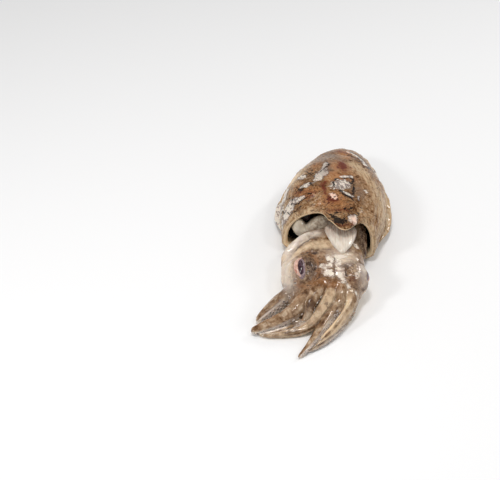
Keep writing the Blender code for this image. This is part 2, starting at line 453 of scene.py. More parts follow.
class NodeSheet:
    """The nodes of one material, with short calls for the kinds that the finishes use."""

    def __init__(self, name: str) -> None:
        """Starts a material of this name.

        Args:
            name: The material's name.
        """
        self.material = bpy.data.materials.new(name)
        self.material.use_nodes = True
        self.tree = self.material.node_tree
        self.shader = self.tree.nodes["Principled BSDF"]
        self.place = self.tree.nodes.new("ShaderNodeTexCoord").outputs["Object"]

    def put(self, kind: str, inputs: dict[str | int, object], **settings: object) -> bpy.types.Node:
        """Adds a node.

        Args:
            kind: The node's type.
            inputs: What goes into its sockets: another node's output, or a value.
            settings: Its own settings.

        Returns:
            The node.
        """
        node = self.tree.nodes.new(kind)
        for name, value in settings.items():
            setattr(node, name, value)
        for socket, value in inputs.items():
            if isinstance(value, Socket):
                self.tree.links.new(value, node.inputs[socket])
            else:
                node.inputs[socket].default_value = value
        return node

    def stretched(self, size: Sequence[float], turn: float = 0.0) -> Socket:
        """Object coordinates in units of a size in millimetres for each axis, turned about the upright.

        Args:
            size: The size along each axis, in millimetres.
            turn: The turn about the upright, in radians.

        Returns:
            The coordinates.
        """
        scale = tuple(1 / (MM * length) for length in size)
        turned = self.put("ShaderNodeMapping", {"Vector": self.place, "Rotation": (0.0, 0.0, turn)})
        return self.put("ShaderNodeMapping", {"Vector": turned.outputs[0], "Scale": scale}).outputs[0]

    def noise(
        self, size: float | Sequence[float], detail: float = 3.0, warp: float = 0.0, turn: float = 0.0
    ) -> Socket:
        """Noise from 0 to 1.

        Args:
            size: The distance in millimetres over which it changes, for all axes or for each.
            detail: How many finer layers it has.
            warp: How much it is distorted.
            turn: The turn of its axes about the upright, in radians.

        Returns:
            The output socket.
        """
        sizes = (size,) * 3 if isinstance(size, (int, float)) else size
        inputs = {"Vector": self.stretched(sizes, turn), "Scale": 1.0, "Detail": detail, "Distortion": warp}
        return self.put("ShaderNodeTexNoise", inputs).outputs["Fac"]

    def lines(self, size: float, width: float, warp: float) -> Socket:
        """Thin wandering lines.

        Args:
            size: The distance in millimetres between them.
            width: Half their width, in the noise's own units.
            warp: How much they are distorted.

        Returns:
            The output socket, one on a line.
        """
        value = self.noise(size, 2.0, warp)
        off = self.put("ShaderNodeMath", {0: value, 1: 0.5}, operation="SUBTRACT").outputs[0]
        away = self.put("ShaderNodeMath", {0: off}, operation="ABSOLUTE").outputs[0]
        return self.rise(away, width, 0.3 * width)

    def sum(self, *terms: tuple[float, object], plus: float = 0.0) -> Socket:
        """A weighted sum.

        Args:
            terms: Pairs of a weight and an output.
            plus: What is added to them.

        Returns:
            The output socket.
        """
        total: object = plus
        for weight, output in terms:
            node = self.put("ShaderNodeMath", {0: output, 1: weight, 2: total}, operation="MULTIPLY_ADD")
            total = node.outputs[0]
        return total

    def times(self, one: object, other: object) -> Socket:
        """The product of two outputs or values."""
        return self.put("ShaderNodeMath", {0: one, 1: other}, operation="MULTIPLY").outputs[0]

    def rise(self, value: object, low: float, high: float) -> Socket:
        """A smooth rise of a value from nothing at low to one at high.

        Args:
            value: What rises.
            low: Where it is nothing.
            high: Where it is one.

        Returns:
            The rise.
        """
        inputs = {"Value": value, "From Min": low, "From Max": high}
        node = self.put("ShaderNodeMapRange", inputs, interpolation_type="SMOOTHSTEP")
        return node.outputs[0]

    def mix(self, share: object, under: object, over: object) -> Socket:
        """One colour laid over another, by the share of it that shows."""
        inputs = {"Fac": share, "Color1": under, "Color2": over}
        return self.put("ShaderNodeMixRGB", inputs).outputs[0]

    def blend(self, value: object, stops: Sequence[tuple[float, Colour]]) -> Socket:
        """A colour that runs through stops.

        Args:
            value: Where along them.
            stops: Pairs of a place and a colour.

        Returns:
            The output socket.
        """
        node = self.put("ShaderNodeValToRGB", {"Fac": value})
        ramp = node.color_ramp
        while len(ramp.elements) < len(stops):
            ramp.elements.new(0.5)
        for element, (place, colour) in zip(ramp.elements, stops):
            element.position = place
            element.color = colour
        return node.outputs[0]

    def mark(self, mark: Mark) -> Socket:
        """How much of a mark the mesh has here.

        Args:
            mark: Which.

        Returns:
            Its strength.
        """
        attribute, channel = mark.value
        colours = self.put("ShaderNodeAttribute", {}, attribute_name=attribute).outputs["Color"]
        return self.put("ShaderNodeSeparateColor", {"Color": colours}).outputs[channel]

    def bump(self, height: object, distance: float, strength: float) -> Socket:
        """A normal bumped by a height from 0 to 1 over a distance in millimetres."""
        inputs = {"Height": height, "Distance": distance * MM, "Strength": strength}
        return self.put("ShaderNodeBump", inputs).outputs["Normal"]

    def dress(
        self, colour: object, roughness: object, normal: object, **sockets: object
    ) -> bpy.types.Material:
        """Fills in the shader.

        Args:
            colour: The base colour.
            roughness: The roughness.
            normal: The normal.
            sockets: Values for other sockets, by their names with spaces as underscores.

        Returns:
            The material.
        """
        named = {name.replace("_", " "): value for name, value in sockets.items()}
        basic = {"Base Color": colour, "Roughness": roughness, "Normal": normal}
        for name, value in {**basic, **named}.items():
            if isinstance(value, Socket):
                self.tree.links.new(value, self.shader.inputs[name])
            elif value is not None:
                self.shader.inputs[name].default_value = value
        return self.material


@dataclass(frozen=True)
class Grain:
    """The patterns that all the skin's colours are broken up by, from the broadest to the finest."""

    broad: Socket
    patchy: Socket
    fine: Socket
    fibres: Socket


@dataclass(frozen=True)
class SkinFinish:
    """Wet skin: mottled browns, with peeled patches, painted highlights, stains, streaks and painted shade
    where the paint says.

    The browns run from the darkest to the palest. peel_and_highlight_edge is how soft the edge of a peeled
    patch and of a painted highlight is, outline how dark the line round it, broken how much the soft marks
    are broken up, and glints how bumpy the film is.
    """

    name: str
    browns: tuple[Colour, Colour, Colour, Colour]
    russet: Colour = seen(104, 48, 26)
    orange: Colour = seen(186, 130, 88)
    cream: Colour = seen(210, 184, 152)
    cream_shade: Colour = seen(182, 154, 122)
    lip: Colour = seen(246, 220, 184)
    grey: Colour = seen(134, 114, 100)
    peel: Colour = seen(236, 226, 214)
    peel_and_highlight_dim: Colour = seen(152, 140, 135)
    pink: Colour = seen(248, 212, 194)
    ink: Colour = seen(46, 32, 27)
    line: Colour = seen(62, 44, 35)
    flesh: Colour = seen(194, 182, 174)
    # Painted shade on the inner wall of the mantle's hollow.
    hollow: Colour = seen(44, 29, 19)
    fold_turn: float = -0.2
    roughness: float = 0.4
    veins: float = 0.75
    freckles: float = 0.35
    fineness: float = 0.22
    fibre: Triple = (1.5, 12.0, 2.5)
    peel_and_highlight_edge: float = 0.075
    broken: float = 1.6
    flecks: float = 0.45
    outline: float = 0.9
    gloss_size: float = 3.2
    glints: float = 0.2
    coat: float = 1.0
    coat_ior: float = 1.38

    def make(self) -> bpy.types.Material:
        """The material.

        Returns:
            The material, with its nodes.
        """
        sheet = NodeSheet(self.name)
        grain = Grain(
            broad=sheet.noise(14.0, 3.0, 0.4),
            patchy=sheet.noise(5.0, 3.0, 0.6),
            fine=sheet.noise(1.8, 4.0, 0.3),
            fibres=sheet.noise(self.fibre, 3.0, 0.5, self.fold_turn),
        )
        grit = sheet.sum((0.7, grain.patchy), (0.7, grain.fine), plus=-0.7)
        # Peeled patches, and on the head white patches painted as wet highlights, with ragged edges.
        torn_and_highlit = sheet.sum((1.0, sheet.mark(Mark.PEEL)), (0.9, grit))
        peeled = sheet.rise(torn_and_highlit, 0.525 - self.peel_and_highlight_edge, 0.525 + self.peel_and_highlight_edge)
        drawn = self.drawn_lines(sheet, grain, peeled)

        colour = sheet.mix(peeled, self.stained(sheet, grain, grit), self.bared_and_highlit(sheet, grain, torn_and_highlit))
        outline = sheet.times(sheet.rise(torn_and_highlit, 0.36, 0.46), sheet.rise(torn_and_highlit, 0.58, 0.51))
        outline = sheet.times(outline, sheet.rise(grain.fibres, 0.42, 0.52))
        colour = sheet.mix(sheet.times(outline, self.outline), colour, self.line)
        veins = sheet.times(drawn, sheet.sum((-0.5 * self.veins, peeled), plus=self.veins))
        colour = sheet.mix(veins, colour, self.line)
        # Dark pigment, and painted shade along the arms' sucker sides and in the fins' folds.
        ink = sheet.rise(sheet.sum((1.0, sheet.mark(Mark.INK)), (2.0, grit)), 0.46, 0.66)
        colour = sheet.mix(sheet.times(ink, 0.95), colour, self.ink)
        flesh = sheet.mix(sheet.rise(grain.patchy, 0.4, 0.62), self.flesh, self.peel)
        colour = sheet.mix(sheet.mark(Mark.FLESH), colour, flesh)
        # Painted shade where the mantle's hollow is.
        colour = sheet.mix(sheet.mark(Mark.HOLLOW), colour, self.hollow)

        relief = sheet.sum(
            (0.6, grain.patchy), (0.3, grain.fibres), (0.15, grain.fine), (-0.3, peeled), (-0.35, drawn)
        )
        film = sheet.sum((0.8, sheet.noise(self.gloss_size, 2.0)), (0.2, relief))
        return sheet.dress(
            colour,
            self.roughness,
            sheet.bump(relief, 0.8, 0.5),
            Coat_Normal=sheet.bump(film, 1.0, self.glints),
            Subsurface_Weight=0.1,
            Subsurface_Radius=(1.0, 0.45, 0.25),
            Subsurface_Scale=0.002,
            Coat_Weight=self.coat,
            Coat_Roughness=0.05,
            Coat_IOR=self.coat_ior,
            Specular_IOR_Level=0.0,
        )

    def stained(self, sheet: NodeSheet, grain: Grain, grit: Socket) -> Socket:
        """The whole skin: browns with their stains, streaks and freckles.

        Args:
            sheet: The nodes.
            grain: The patterns.
            grit: Fine grain about nothing, which roughens edges.

        Returns:
            The colour.
        """
        tone = sheet.sum(
            (0.34, grain.broad),
            (0.56 - self.fineness, grain.patchy),
            (self.fineness, grain.fine),
            (0.10, grain.fibres),
        )
        low, mid, high, top = self.browns
        colour = sheet.blend(tone, ((0.41, low), (0.465, mid), (0.53, high), (0.595, top)))
        colour = self.soft(sheet, colour, Mark.GREY, self.grey, grain.patchy, 0.8)
        colour = self.soft(sheet, colour, Mark.ORANGE, self.orange, grain.patchy, 0.55)
        cream = sheet.mix(sheet.rise(grain.fibres, 0.38, 0.58), self.cream_shade, self.cream)
        cream = sheet.mix(sheet.rise(sheet.mark(Mark.CREAM), 0.85, 1.0), cream, self.lip)
        mixed = sheet.sum((0.5, grain.fibres), (0.5, grain.patchy))
        colour = self.soft(sheet, colour, Mark.CREAM, cream, mixed, 0.95)
        flecks = sheet.times(sheet.rise(grain.fine, 0.55, 0.64), sheet.rise(grain.fibres, 0.40, 0.55))
        colour = sheet.mix(sheet.times(flecks, self.flecks), colour, self.cream)
        russet = sheet.rise(sheet.sum((1.0, sheet.mark(Mark.RUSSET)), (1.6, grit)), 0.30, 0.80)
        colour = sheet.mix(sheet.times(russet, 0.9), colour, self.russet)
        # Streaks, and on the head also painted shade in the creases between the arms.
        colour = sheet.mix(sheet.times(sheet.mark(Mark.STREAK), 0.5), colour, self.line)
        freckles = sheet.times(sheet.rise(grain.fine, 0.43, 0.36), sheet.rise(grain.patchy, 0.6, 0.45))
        return sheet.mix(sheet.times(freckles, self.freckles), colour, self.line)

    def bared_and_highlit(self, sheet: NodeSheet, grain: Grain, torn_and_highlit: Socket) -> Socket:
        """What shows inside a peeled patch, and inside a white patch painted as a highlight on the head:
        pale flesh, greyer under grey stains and pink under russet ones.

        Args:
            sheet: The nodes.
            grain: The patterns.
            torn_and_highlit: How deep inside a peeled patch, and inside a painted highlight on the head.

        Returns:
            The colour.
        """
        shine = sheet.sum((0.8, grain.patchy), (0.8, grain.fibres), (0.6, torn_and_highlit), plus=-0.72)
        inside = sheet.mix(sheet.rise(shine, 0.40, 0.56), self.peel_and_highlight_dim, self.peel)
        clouded = sheet.times(sheet.rise(sheet.mark(Mark.GREY), 0.2, 0.8), 0.6)
        inside = sheet.mix(clouded, inside, self.peel_and_highlight_dim)
        return sheet.mix(sheet.rise(sheet.mark(Mark.RUSSET), 0.1, 0.6), inside, self.pink)

    def drawn_lines(self, sheet: NodeSheet, grain: Grain, peeled: Socket) -> Socket:
        """Dark cracks, and hairs between them where the skin is whole.

        Args:
            sheet: The nodes.
            grain: The patterns.
            peeled: One where the skin is peeled off, and on the head also where a white highlight is
                painted.

        Returns:
            One on a line.
        """
        busy = sheet.sum((1.7, sheet.mark(Mark.INK)), (1.2, grain.broad), (0.8, grain.patchy), plus=-1.05)
        cracks = sheet.times(sheet.lines(7.0, 0.042, 1.8), sheet.rise(busy, 0.0, 0.3))
        hairs = sheet.times(sheet.lines(3.2, 0.045, 1.4), sheet.rise(busy, 0.15, 0.6))
        whole = sheet.sum((-0.8, peeled), plus=1.0)
        lines = sheet.sum((1.0, cracks), (0.7, sheet.times(hairs, whole)))
        return sheet.times(lines, sheet.rise(grain.fine, 0.36, 0.52))

    def soft(
        self, sheet: NodeSheet, under: object, mark: Mark, over: object, pattern: object, most: float
    ) -> Socket:
        """Lays a colour over another where a mark is, broken up by a pattern.

        Args:
            sheet: The nodes.
            under: The colour under it.
            mark: The mark.
            over: The colour laid on.
            pattern: What breaks it up.
            most: The largest share of it.

        Returns:
            The output socket.
        """
        even = 0.5 * (1.6 - self.broken)
        amount = sheet.sum((1.3, sheet.mark(mark)), (self.broken, pattern), plus=even - 0.98)
        shown = sheet.times(sheet.rise(amount, 0.05, 0.85), sheet.rise(sheet.mark(mark), 0.02, 0.3))
        return sheet.mix(sheet.times(shown, most), under, over)


MANTLE_SKIN = SkinFinish(
    "mantle_skin",
    (seen(92, 65, 46), seen(140, 106, 76), seen(166, 133, 100), seen(200, 173, 142)),
    outline=0.5,
    coat=0.5,
)
FIN_SKIN = SkinFinish(
    "fin_skin",
    (seen(160, 134, 106), seen(196, 172, 144), seen(214, 196, 170), seen(228, 214, 194)),
    veins=0.4,
    freckles=0.1,
    roughness=0.45,
    glints=0.1,
    coat=0.4,
)
HEAD_SKIN = SkinFinish(
    "head_skin",
    (seen(96, 70, 50), seen(136, 107, 82), seen(164, 137, 110), seen(200, 178, 154)),
    russet=seen(122, 84, 64),
    orange=seen(156, 108, 70),
    ink=seen(66, 50, 41),
    # The pale of peeled patches, and the white of the painted highlights.
    peel=seen(244, 234, 220),
    peel_and_highlight_dim=seen(192, 174, 162),
    pink=seen(214, 194, 178),
    cream=seen(222, 197, 166),
    cream_shade=seen(196, 169, 139),
    flesh=seen(230, 217, 208),
    peel_and_highlight_edge=0.15,
    broken=0.8,
    flecks=0.2,
    outline=0.4,
    gloss_size=3.6,
    roughness=0.36,
    veins=0.7,
    freckles=0.1,
    fineness=0.1,
    fibre=(4.0, 6.0, 4.0),
    glints=0.42,
    coat_ior=1.46,
)


@dataclass(frozen=True)
class GlossFinish:
    """Smooth wet flesh without skin: muscle, eyes and suckers."""

    name: str
    colour: Colour
    shade: Colour
    size: Triple = (3.0, 3.0, 3.0)
    streak: Colour = seen(110, 90, 78)
    roughness: float = 0.2
    subsurface: float = 0.2
    relief: float = 0.2

    def make(self) -> bpy.types.Material:
        """The material.

        Returns:
            The material, with its nodes.
        """
        sheet = NodeSheet(self.name)
        pattern = sheet.noise(self.size, 4.0, 0.4)
        fine = sheet.noise(tuple(0.3 * length for length in self.size), 2.0)
        tone = sheet.sum((0.7, pattern), (0.3, fine))
        colour = sheet.blend(tone, ((0.38, self.shade), (0.60, self.colour)))
        # Streaks, and painted shade in the suckers' cups, on the collar, on the shield and on the neck
        # band.
        streak = sheet.times(sheet.mark(Mark.STREAK), sheet.rise(tone, 0.8, 0.35))
        colour = sheet.mix(streak, colour, self.streak)
        normal = sheet.bump(tone, self.relief, 0.6)
        return sheet.dress(
            colour,
            self.roughness,
            normal,
            Subsurface_Weight=self.subsurface,
            Subsurface_Radius=(1.0, 0.6, 0.4),
            Subsurface_Scale=0.003,
            Coat_Normal=normal,
            Coat_Weight=1.0,
            Coat_Roughness=0.07,
            Coat_IOR=1.38,
            Specular_IOR_Level=0.0,
        )


# The last colour of each finish is for its streaks, and on the suckers, shield, collar and neck band also
# for painted shade.
SUCKER = GlossFinish(
    "sucker_flesh", seen(228, 217, 209), seen(194, 180, 172), (1.2, 1.2, 1.2), seen(72, 56, 51)
)
SHIELD = GlossFinish(
    "shield_flesh", seen(238, 231, 221), seen(214, 204, 191), (1.6, 14.0, 4.0), seen(150, 108, 92)
)
COLLAR = GlossFinish(
    "collar_flesh", seen(218, 209, 193), seen(190, 179, 162), (6.0, 6.0, 6.0), seen(108, 90, 75)
)
ORGAN = GlossFinish("organ", seen(84, 74, 76), seen(52, 42, 44), subsurface=0.0)
BAND = GlossFinish(
    "band_flesh", seen(200, 174, 146), seen(156, 130, 104), (2.0, 2.0, 9.0), seen(66, 48, 36)
)
IRIS = GlossFinish("iris", seen(170, 152, 154), seen(120, 100, 108), (1.4, 2.6, 1.4), roughness=0.15)
PUPIL = GlossFinish(
    "pupil", seen(92, 70, 80), seen(48, 34, 44), (1.6, 2.4, 1.6), roughness=0.1, subsurface=0.0
)
EYELID = GlossFinish(
    "eyelid", seen(232, 200, 186), seen(206, 164, 148), (1.5, 2.5, 1.5), seen(176, 112, 92)
)


@dataclass
class Mantle:
    """The bag of the mantle: open at the front, with a lobe over the nape."""

    length: float = 137.0
    heading: float = math.radians(11.0)
    front: Triple = (0.6, -2.6, 0.0)
    lip_top: float = 2.6
    lip_side: float = 5.4
    wall_swell: float = 1.1
    squareness: float = 0.26
    cavity_share: float = 0.25
    lobe_length: float = 20.0
    lobe_turn: float = math.radians(76.0)
    lobe_spread: float = math.radians(16.5)
    margin_height: float = 13.0
    lump: float = 0.8
    fold: float = 0.6
    wrinkle: float = 0.22
    peel_and_highlight_depth: float = 0.35
    around: int = 300
    rows: int = 280
    outside_share: float = 0.74
    lip_share: float = 0.80
    # Share of the way from tail to lip, then the middle, half-width, top and underside there.
    stations: Track = Track(
        (
            (0.00, 0.0, 0.0, 13.0, 13.0),
            (0.10, 0.0, 9.0, 18.5, 7.0),
            (0.25, 0.3, 18.0, 25.0, 2.0),
            (0.45, 0.0, 30.0, 34.0, -1.5),
            (0.65, 1.0, 41.5, 43.0, -2.0),
            (0.85, 2.0, 45.0, 47.0, -2.0),
            (1.00, 3.4, 39.6, 46.3, -1.5),
        )
    )
    marks: tuple[Patch | Stroke, ...] = (
        *patches(
            Mark.PEEL,
            (-1, 52, 5, 13, -24), (-16.8, 57, 4.2, 5), (-14.4, 38, 5.4, 3.8, 20), (-20.5, 21.5, 5.6, 3.8),
            (14.6, 34, 8, 10, -35), (7.8, 15.2, 2.8, 5.4, 15), (21.7, -13.5, 4.6, 6),
            (35.6, 29.2, 1.8, 2), (-21, 86, 3, 7, -35),
        ),
        *strokes(
            Mark.PEEL,
            (((0, 58), (5, 72)), 2.4), (((17, 47), (24, 49)), 2.6), (((15, 22), (23.5, 16.5)), 2),
            (((-30.5, 12), (-29, 18), (-26, 22)), 5.6), (((-41, 28), (-38, 42), (-34, 52)), 7.6),
            (((28, 12), (28.8, 18)), 1.2), (((27, 112), (34, 103), (38, 92), (40, 82)), 2),
        ),
        *patches(
            Mark.INK,
            (9.5, -17, 8.5, 5, -20, 0.9), (23.5, 38, 2.4, 5, 0, 0.7), (-19, 30, 14, 20, 0, 0.4),
            (18, 14, 13, 14, 0, 0.36), (12, -6, 18, 10, 0, 0.42), (-8, 62, 10, 16, 0, 0.4),
            (38, 90, 8, 24, 15, 0.4),
        ),
        *strokes(
            Mark.INK,
            (((30, 112), (37, 102), (41, 91), (43, 80)), 1.3, 0.85),
            (((25, 106), (31, 98), (35, 88)), 0.9, 0.8), (((4, -10), (7, -15), (14, -20)), 1.8, 0.9),
            (((7, -9), (13, -6), (15, -17)), 1.3, 0.75), (((15, -3), (23, 0.5)), 1.4, 0.8),
            (((5, 76), (7.6, 71), (4, 64), (-1, 57)), 0.9, 0.85),
            (((22, 48), (25.8, 46), (25.5, 32), (24, 19)), 1.1, 0.9),
            (((13.5, 24), (16, 18), (22.7, 13)), 1.3, 0.95),
            (((8.5, 30), (8.5, 38), (13, 44), (21, 46)), 0.9, 0.8),
            (((-13.5, 71), (-11, 62), (-7.2, 52)), 0.7, 0.85),
            (((-15.5, 60), (-8, 57.5), (-4, 60)), 0.7, 0.85),
            (((-22.5, 44), (-19.5, 37), (-17, 32)), 1, 0.8), (((-12, 44), (-10, 38), (-8, 34)), 1.1, 0.8),
            (((-24.5, 28), (-26, 20), (-21, 15.5), (-14.5, 20)), 0.8, 0.8),
            (((-16.5, 26), (-11, 23.5)), 1.2, 0.8),
            (((-34, 25), (-28, 9), (-22, 8), (-14, 12)), 0.7, 0.75),
        ),
        *patches(
            Mark.RUSSET,
            (18.6, 68.3, 4.4, 12), (19, 70, 3, 8), (6.9, 11, 5.4, 7), (-11.5, 19, 4.4, 5, 0, 0.65),
            (22.5, -14, 3, 4, 0, 0.6), (20, 108, 8, 7, 0, 0.7),
        ),
        *strokes(
            Mark.RUSSET,
            (((1.5, 38), (-0.5, 31), (1.5, 20)), 2.6, 0.85), (((3, -4), (17, -3)), 3, 0.7),
            (((5, -20), (11, -24), (20, -20)), 2.4, 0.65), (((-22.4, 33.7), (-7.2, 24)), 2.6, 0.65),
        ),
        *patches(
            Mark.ORANGE,
            (-7, 71, 10, 12, 0, 0.7), (-14, 26, 13, 8), (7, 10, 12, 16), (-24, 46, 8, 14, 0, 0.7),
            (14, 46, 14, 12, 0, 0.9), (16, 68, 10, 12, 0, 0.9), (26, 102, 9, 12),
        ),
        *patches(
            Mark.GREY,
            (8, 84, 12, 18), (5, 61, 8, 16, -24, 0.85), (30, 30, 9, 22, 0, 0.6),
        ),
        *patches(
            Mark.CREAM,
            (52, 22, 12, 34, 8, 0.75), (-38, 14, 10, 30, -10, 0.9), (-23, 68, 11, 28, -20, 1),
            (-28, 5, 9, 9, 0, 0.6),
        ),
        *strokes(
            Mark.CREAM,
            (((29.5, 79), (41, 50), (50, 36)), 6.5, 0.75),
        ),
    )

    def section(self, to_lip: Values, inset: Values | float) -> tuple[Values, Values, Values, Values]:
        """Middle, half-width, top and underside at shares of the way from tail to lip."""
        middle, width, top, under = self.stations.at(to_lip).T
        return middle, np.maximum(width - inset, 0.0), top - inset, under + inset

    def own_point(
        self, to_lip: Values, turns: Values, inset: Values, closing: Values, forward: Values
    ) -> tuple[Values, Values, Values]:
        """Points in the mantle's own frame.

        Args:
            to_lip: Shares of the way from tail to lip.
            turns: Turns about the middle, 0 to the right and a quarter turn up.
            inset: How far inside the outer skin.
            closing: How open the section is, down to nothing at the end of the hollow.
            forward: How far in front of the lip.

        Returns:
            How far away from the mouth, how far across and how high.
        """
        middle, width, top, under = self.section(to_lip, inset)
        rise, reach = np.sin(turns), np.cos(turns)
        square = np.where(reach > 0, self.squareness * to_lip**4, 0.0)
        height = np.where(rise > 0, top - self.margin_height, self.margin_height - under)
        lift = np.sign(rise) * np.abs(rise) ** np.where(rise > 0, 0.9 - square, 0.6)
        to_tail = np.cos(math.pi / 2 * to_lip)
        from_lobe = (turns - self.lobe_turn + math.pi) % math.tau - math.pi
        setback = -self.lobe_length * np.exp(-(np.abs(from_lobe / self.lobe_spread) ** 2.3))
        away = self.length * to_tail + setback * (1 - to_tail) - forward
        across = middle + width * closing * np.sign(reach) * np.abs(reach) ** (1 - square)
        return away, across, self.margin_height + height * closing * lift

    def to_body(self, away: Values, across: Values, up: Values) -> Points:
        """Points of the mantle's own frame, in the body's frame.

        Args:
            away: How far from the mouth, towards the tail.
            across: How far to the right of the middle.
            up: How high.

        Returns:
            The points.
        """
        cosine, sine = math.cos(self.heading), math.sin(self.heading)
        x = across * cosine + away * sine + self.front[0]
        y = away * cosine - across * sine + self.front[1]
        return np.stack([x, y, up + self.front[2]], axis=1)

    def wall_points(self, shares: Values, turns: Values) -> Points:
        """The skin: outside from tail to lip, round the lip, then inside to the end of the hollow.

        Args:
            shares: Shares of the whole way.
            turns: Turns about the mantle, in radians.

        Returns:
            The points.
        """
        outside, lip = self.outside_share, self.lip_share
        thickness = self.lip_top + (self.lip_side - self.lip_top) * np.cos(turns) ** 2
        to_lip = np.clip(shares / outside, 0.0, 1.0) ** 0.94
        roll = math.pi * np.clip((shares - outside) / (lip - outside), 0.0, 1.0)
        depth = np.clip((shares - lip) / (1 - lip), 0.0, 1.0)
        rim = thickness / 2 * (1 - np.cos(roll))
        inset = np.where(shares > lip, thickness + self.wall_swell * np.minimum(2 * depth, 1.0), rim)
        to_lip = np.where(shares > lip, 1 - self.cavity_share * np.sin(math.pi / 2 * depth), to_lip)
        closing = np.cos(math.pi / 2 * depth**3)
        forward = np.where(shares > lip, 0.0, thickness / 2 * np.sin(roll))
        return self.to_body(*self.own_point(to_lip, turns, inset, closing, forward))

    def build(self) -> Piece:
        """The mantle with its lumps and wrinkles, painted.

        Returns:
            The mantle's skin.
        """
        shape, shares, turns = drawn_ball(self.around, self.rows, self.wall_points)
        piece = Piece.from_shape("mantle", shape)
        points = piece.points()
        outer = step(shares, self.lip_share, self.outside_share - 0.02)
        lumps = self.lump * ripple(points, 26.0, 1.0) + 0.3 * ripple(points, 9.0, 2.0)
        sideways = np.abs(np.cos(turns)) ** 2
        along = self.turned(points)
        broad, narrow = ridges(along, (5.5, 34.0, 9.0), 3.0), ridges(along, (3.2, 20.0, 6.0), 4.0)
        folds = sideways * (broad + 0.6 * narrow)
        wrinkles = self.wrinkle * ridges(points, (6.0, 9.0, 8.0), 5.0) * (1 - sideways)
        rim = hump(shares, self.outside_share, 0.03) * ripple(points, 8.0, 6.0)
        piece.swell(outer * (lumps + self.fold * folds + wrinkles) + 0.35 * rim)
        self.paint(piece, shares, turns, outer)
        sunk = step(piece.paint[Mark.PEEL], 0.48, 0.62)
        piece.swell(-self.peel_and_highlight_depth * sunk * outer)
        piece.settle()
        return piece

    def turned(self, points: Points) -> Points:
        """Points in axes that run along the mantle.

        Args:
            points: Points in the body's frame.

        Returns:
            The same points in those axes.
        """
        cosine, sine = math.cos(self.heading), math.sin(self.heading)
        x = points[:, 0] * cosine - points[:, 1] * sine
        y = points[:, 1] * cosine + points[:, 0] * sine
        return np.stack([x, y, points[:, 2]], axis=1)

    def paint(self, piece: Piece, shares: Values, turns: Values, outer: Values) -> None:
        """Paints the skin's marks, the pale lip and belly, and painted shade on the hollow's inner wall.

        Args:
            piece: The mantle.
            shares: The share of each point of the way from the tail over the lip to the end of the hollow.
            turns: The turn of each point.
            outer: One on the outside.
        """
        points = piece.points()
        upper = step(np.sin(turns), -0.15, 0.15)
        ragged = roughened(points, 1.1, 5.0)
        for mark in self.marks:
            mark.paint(piece, ragged, upper)
        belly = step(np.sin(turns), 0.05, -0.35) * outer
        turn_of_lip = self.outside_share + 0.45 * (self.lip_share - self.outside_share)
        lip = step(shares, turn_of_lip - 0.012, turn_of_lip + 0.004)
        for mark in (Mark.PEEL, Mark.RUSSET, Mark.INK, Mark.ORANGE, Mark.GREY):
            piece.dull(mark, np.maximum(belly, lip))
        piece.add(Mark.CREAM, np.maximum(0.85 * belly, lip))
        beside_lobe = np.maximum(step(points[:, 0], 2.0, -8.0), step(points[:, 0], 24.0, 29.0))
        near_lip = step(shares, self.outside_share - 0.035, self.outside_share) * (0.1 + 0.5 * beside_lobe)
        piece.add(Mark.CREAM, near_lip)
        # Painted shade: the hollow's inner wall is dark from just inside the lip.
        piece.add(Mark.HOLLOW, step(shares, self.lip_share, self.lip_share + 0.03))
        along = self.turned(points)
        sideways = step(np.abs(np.cos(turns)), 0.45, 0.9) * step(np.sin(turns), -0.3, 0.0)
        streaks = step(rough_ripple(along, (1.8, 22.0, 4.0), 21.0), 0.15, 0.6)
        piece.add(Mark.STREAK, 0.35 * streaks * sideways * outer * (1 - lip))


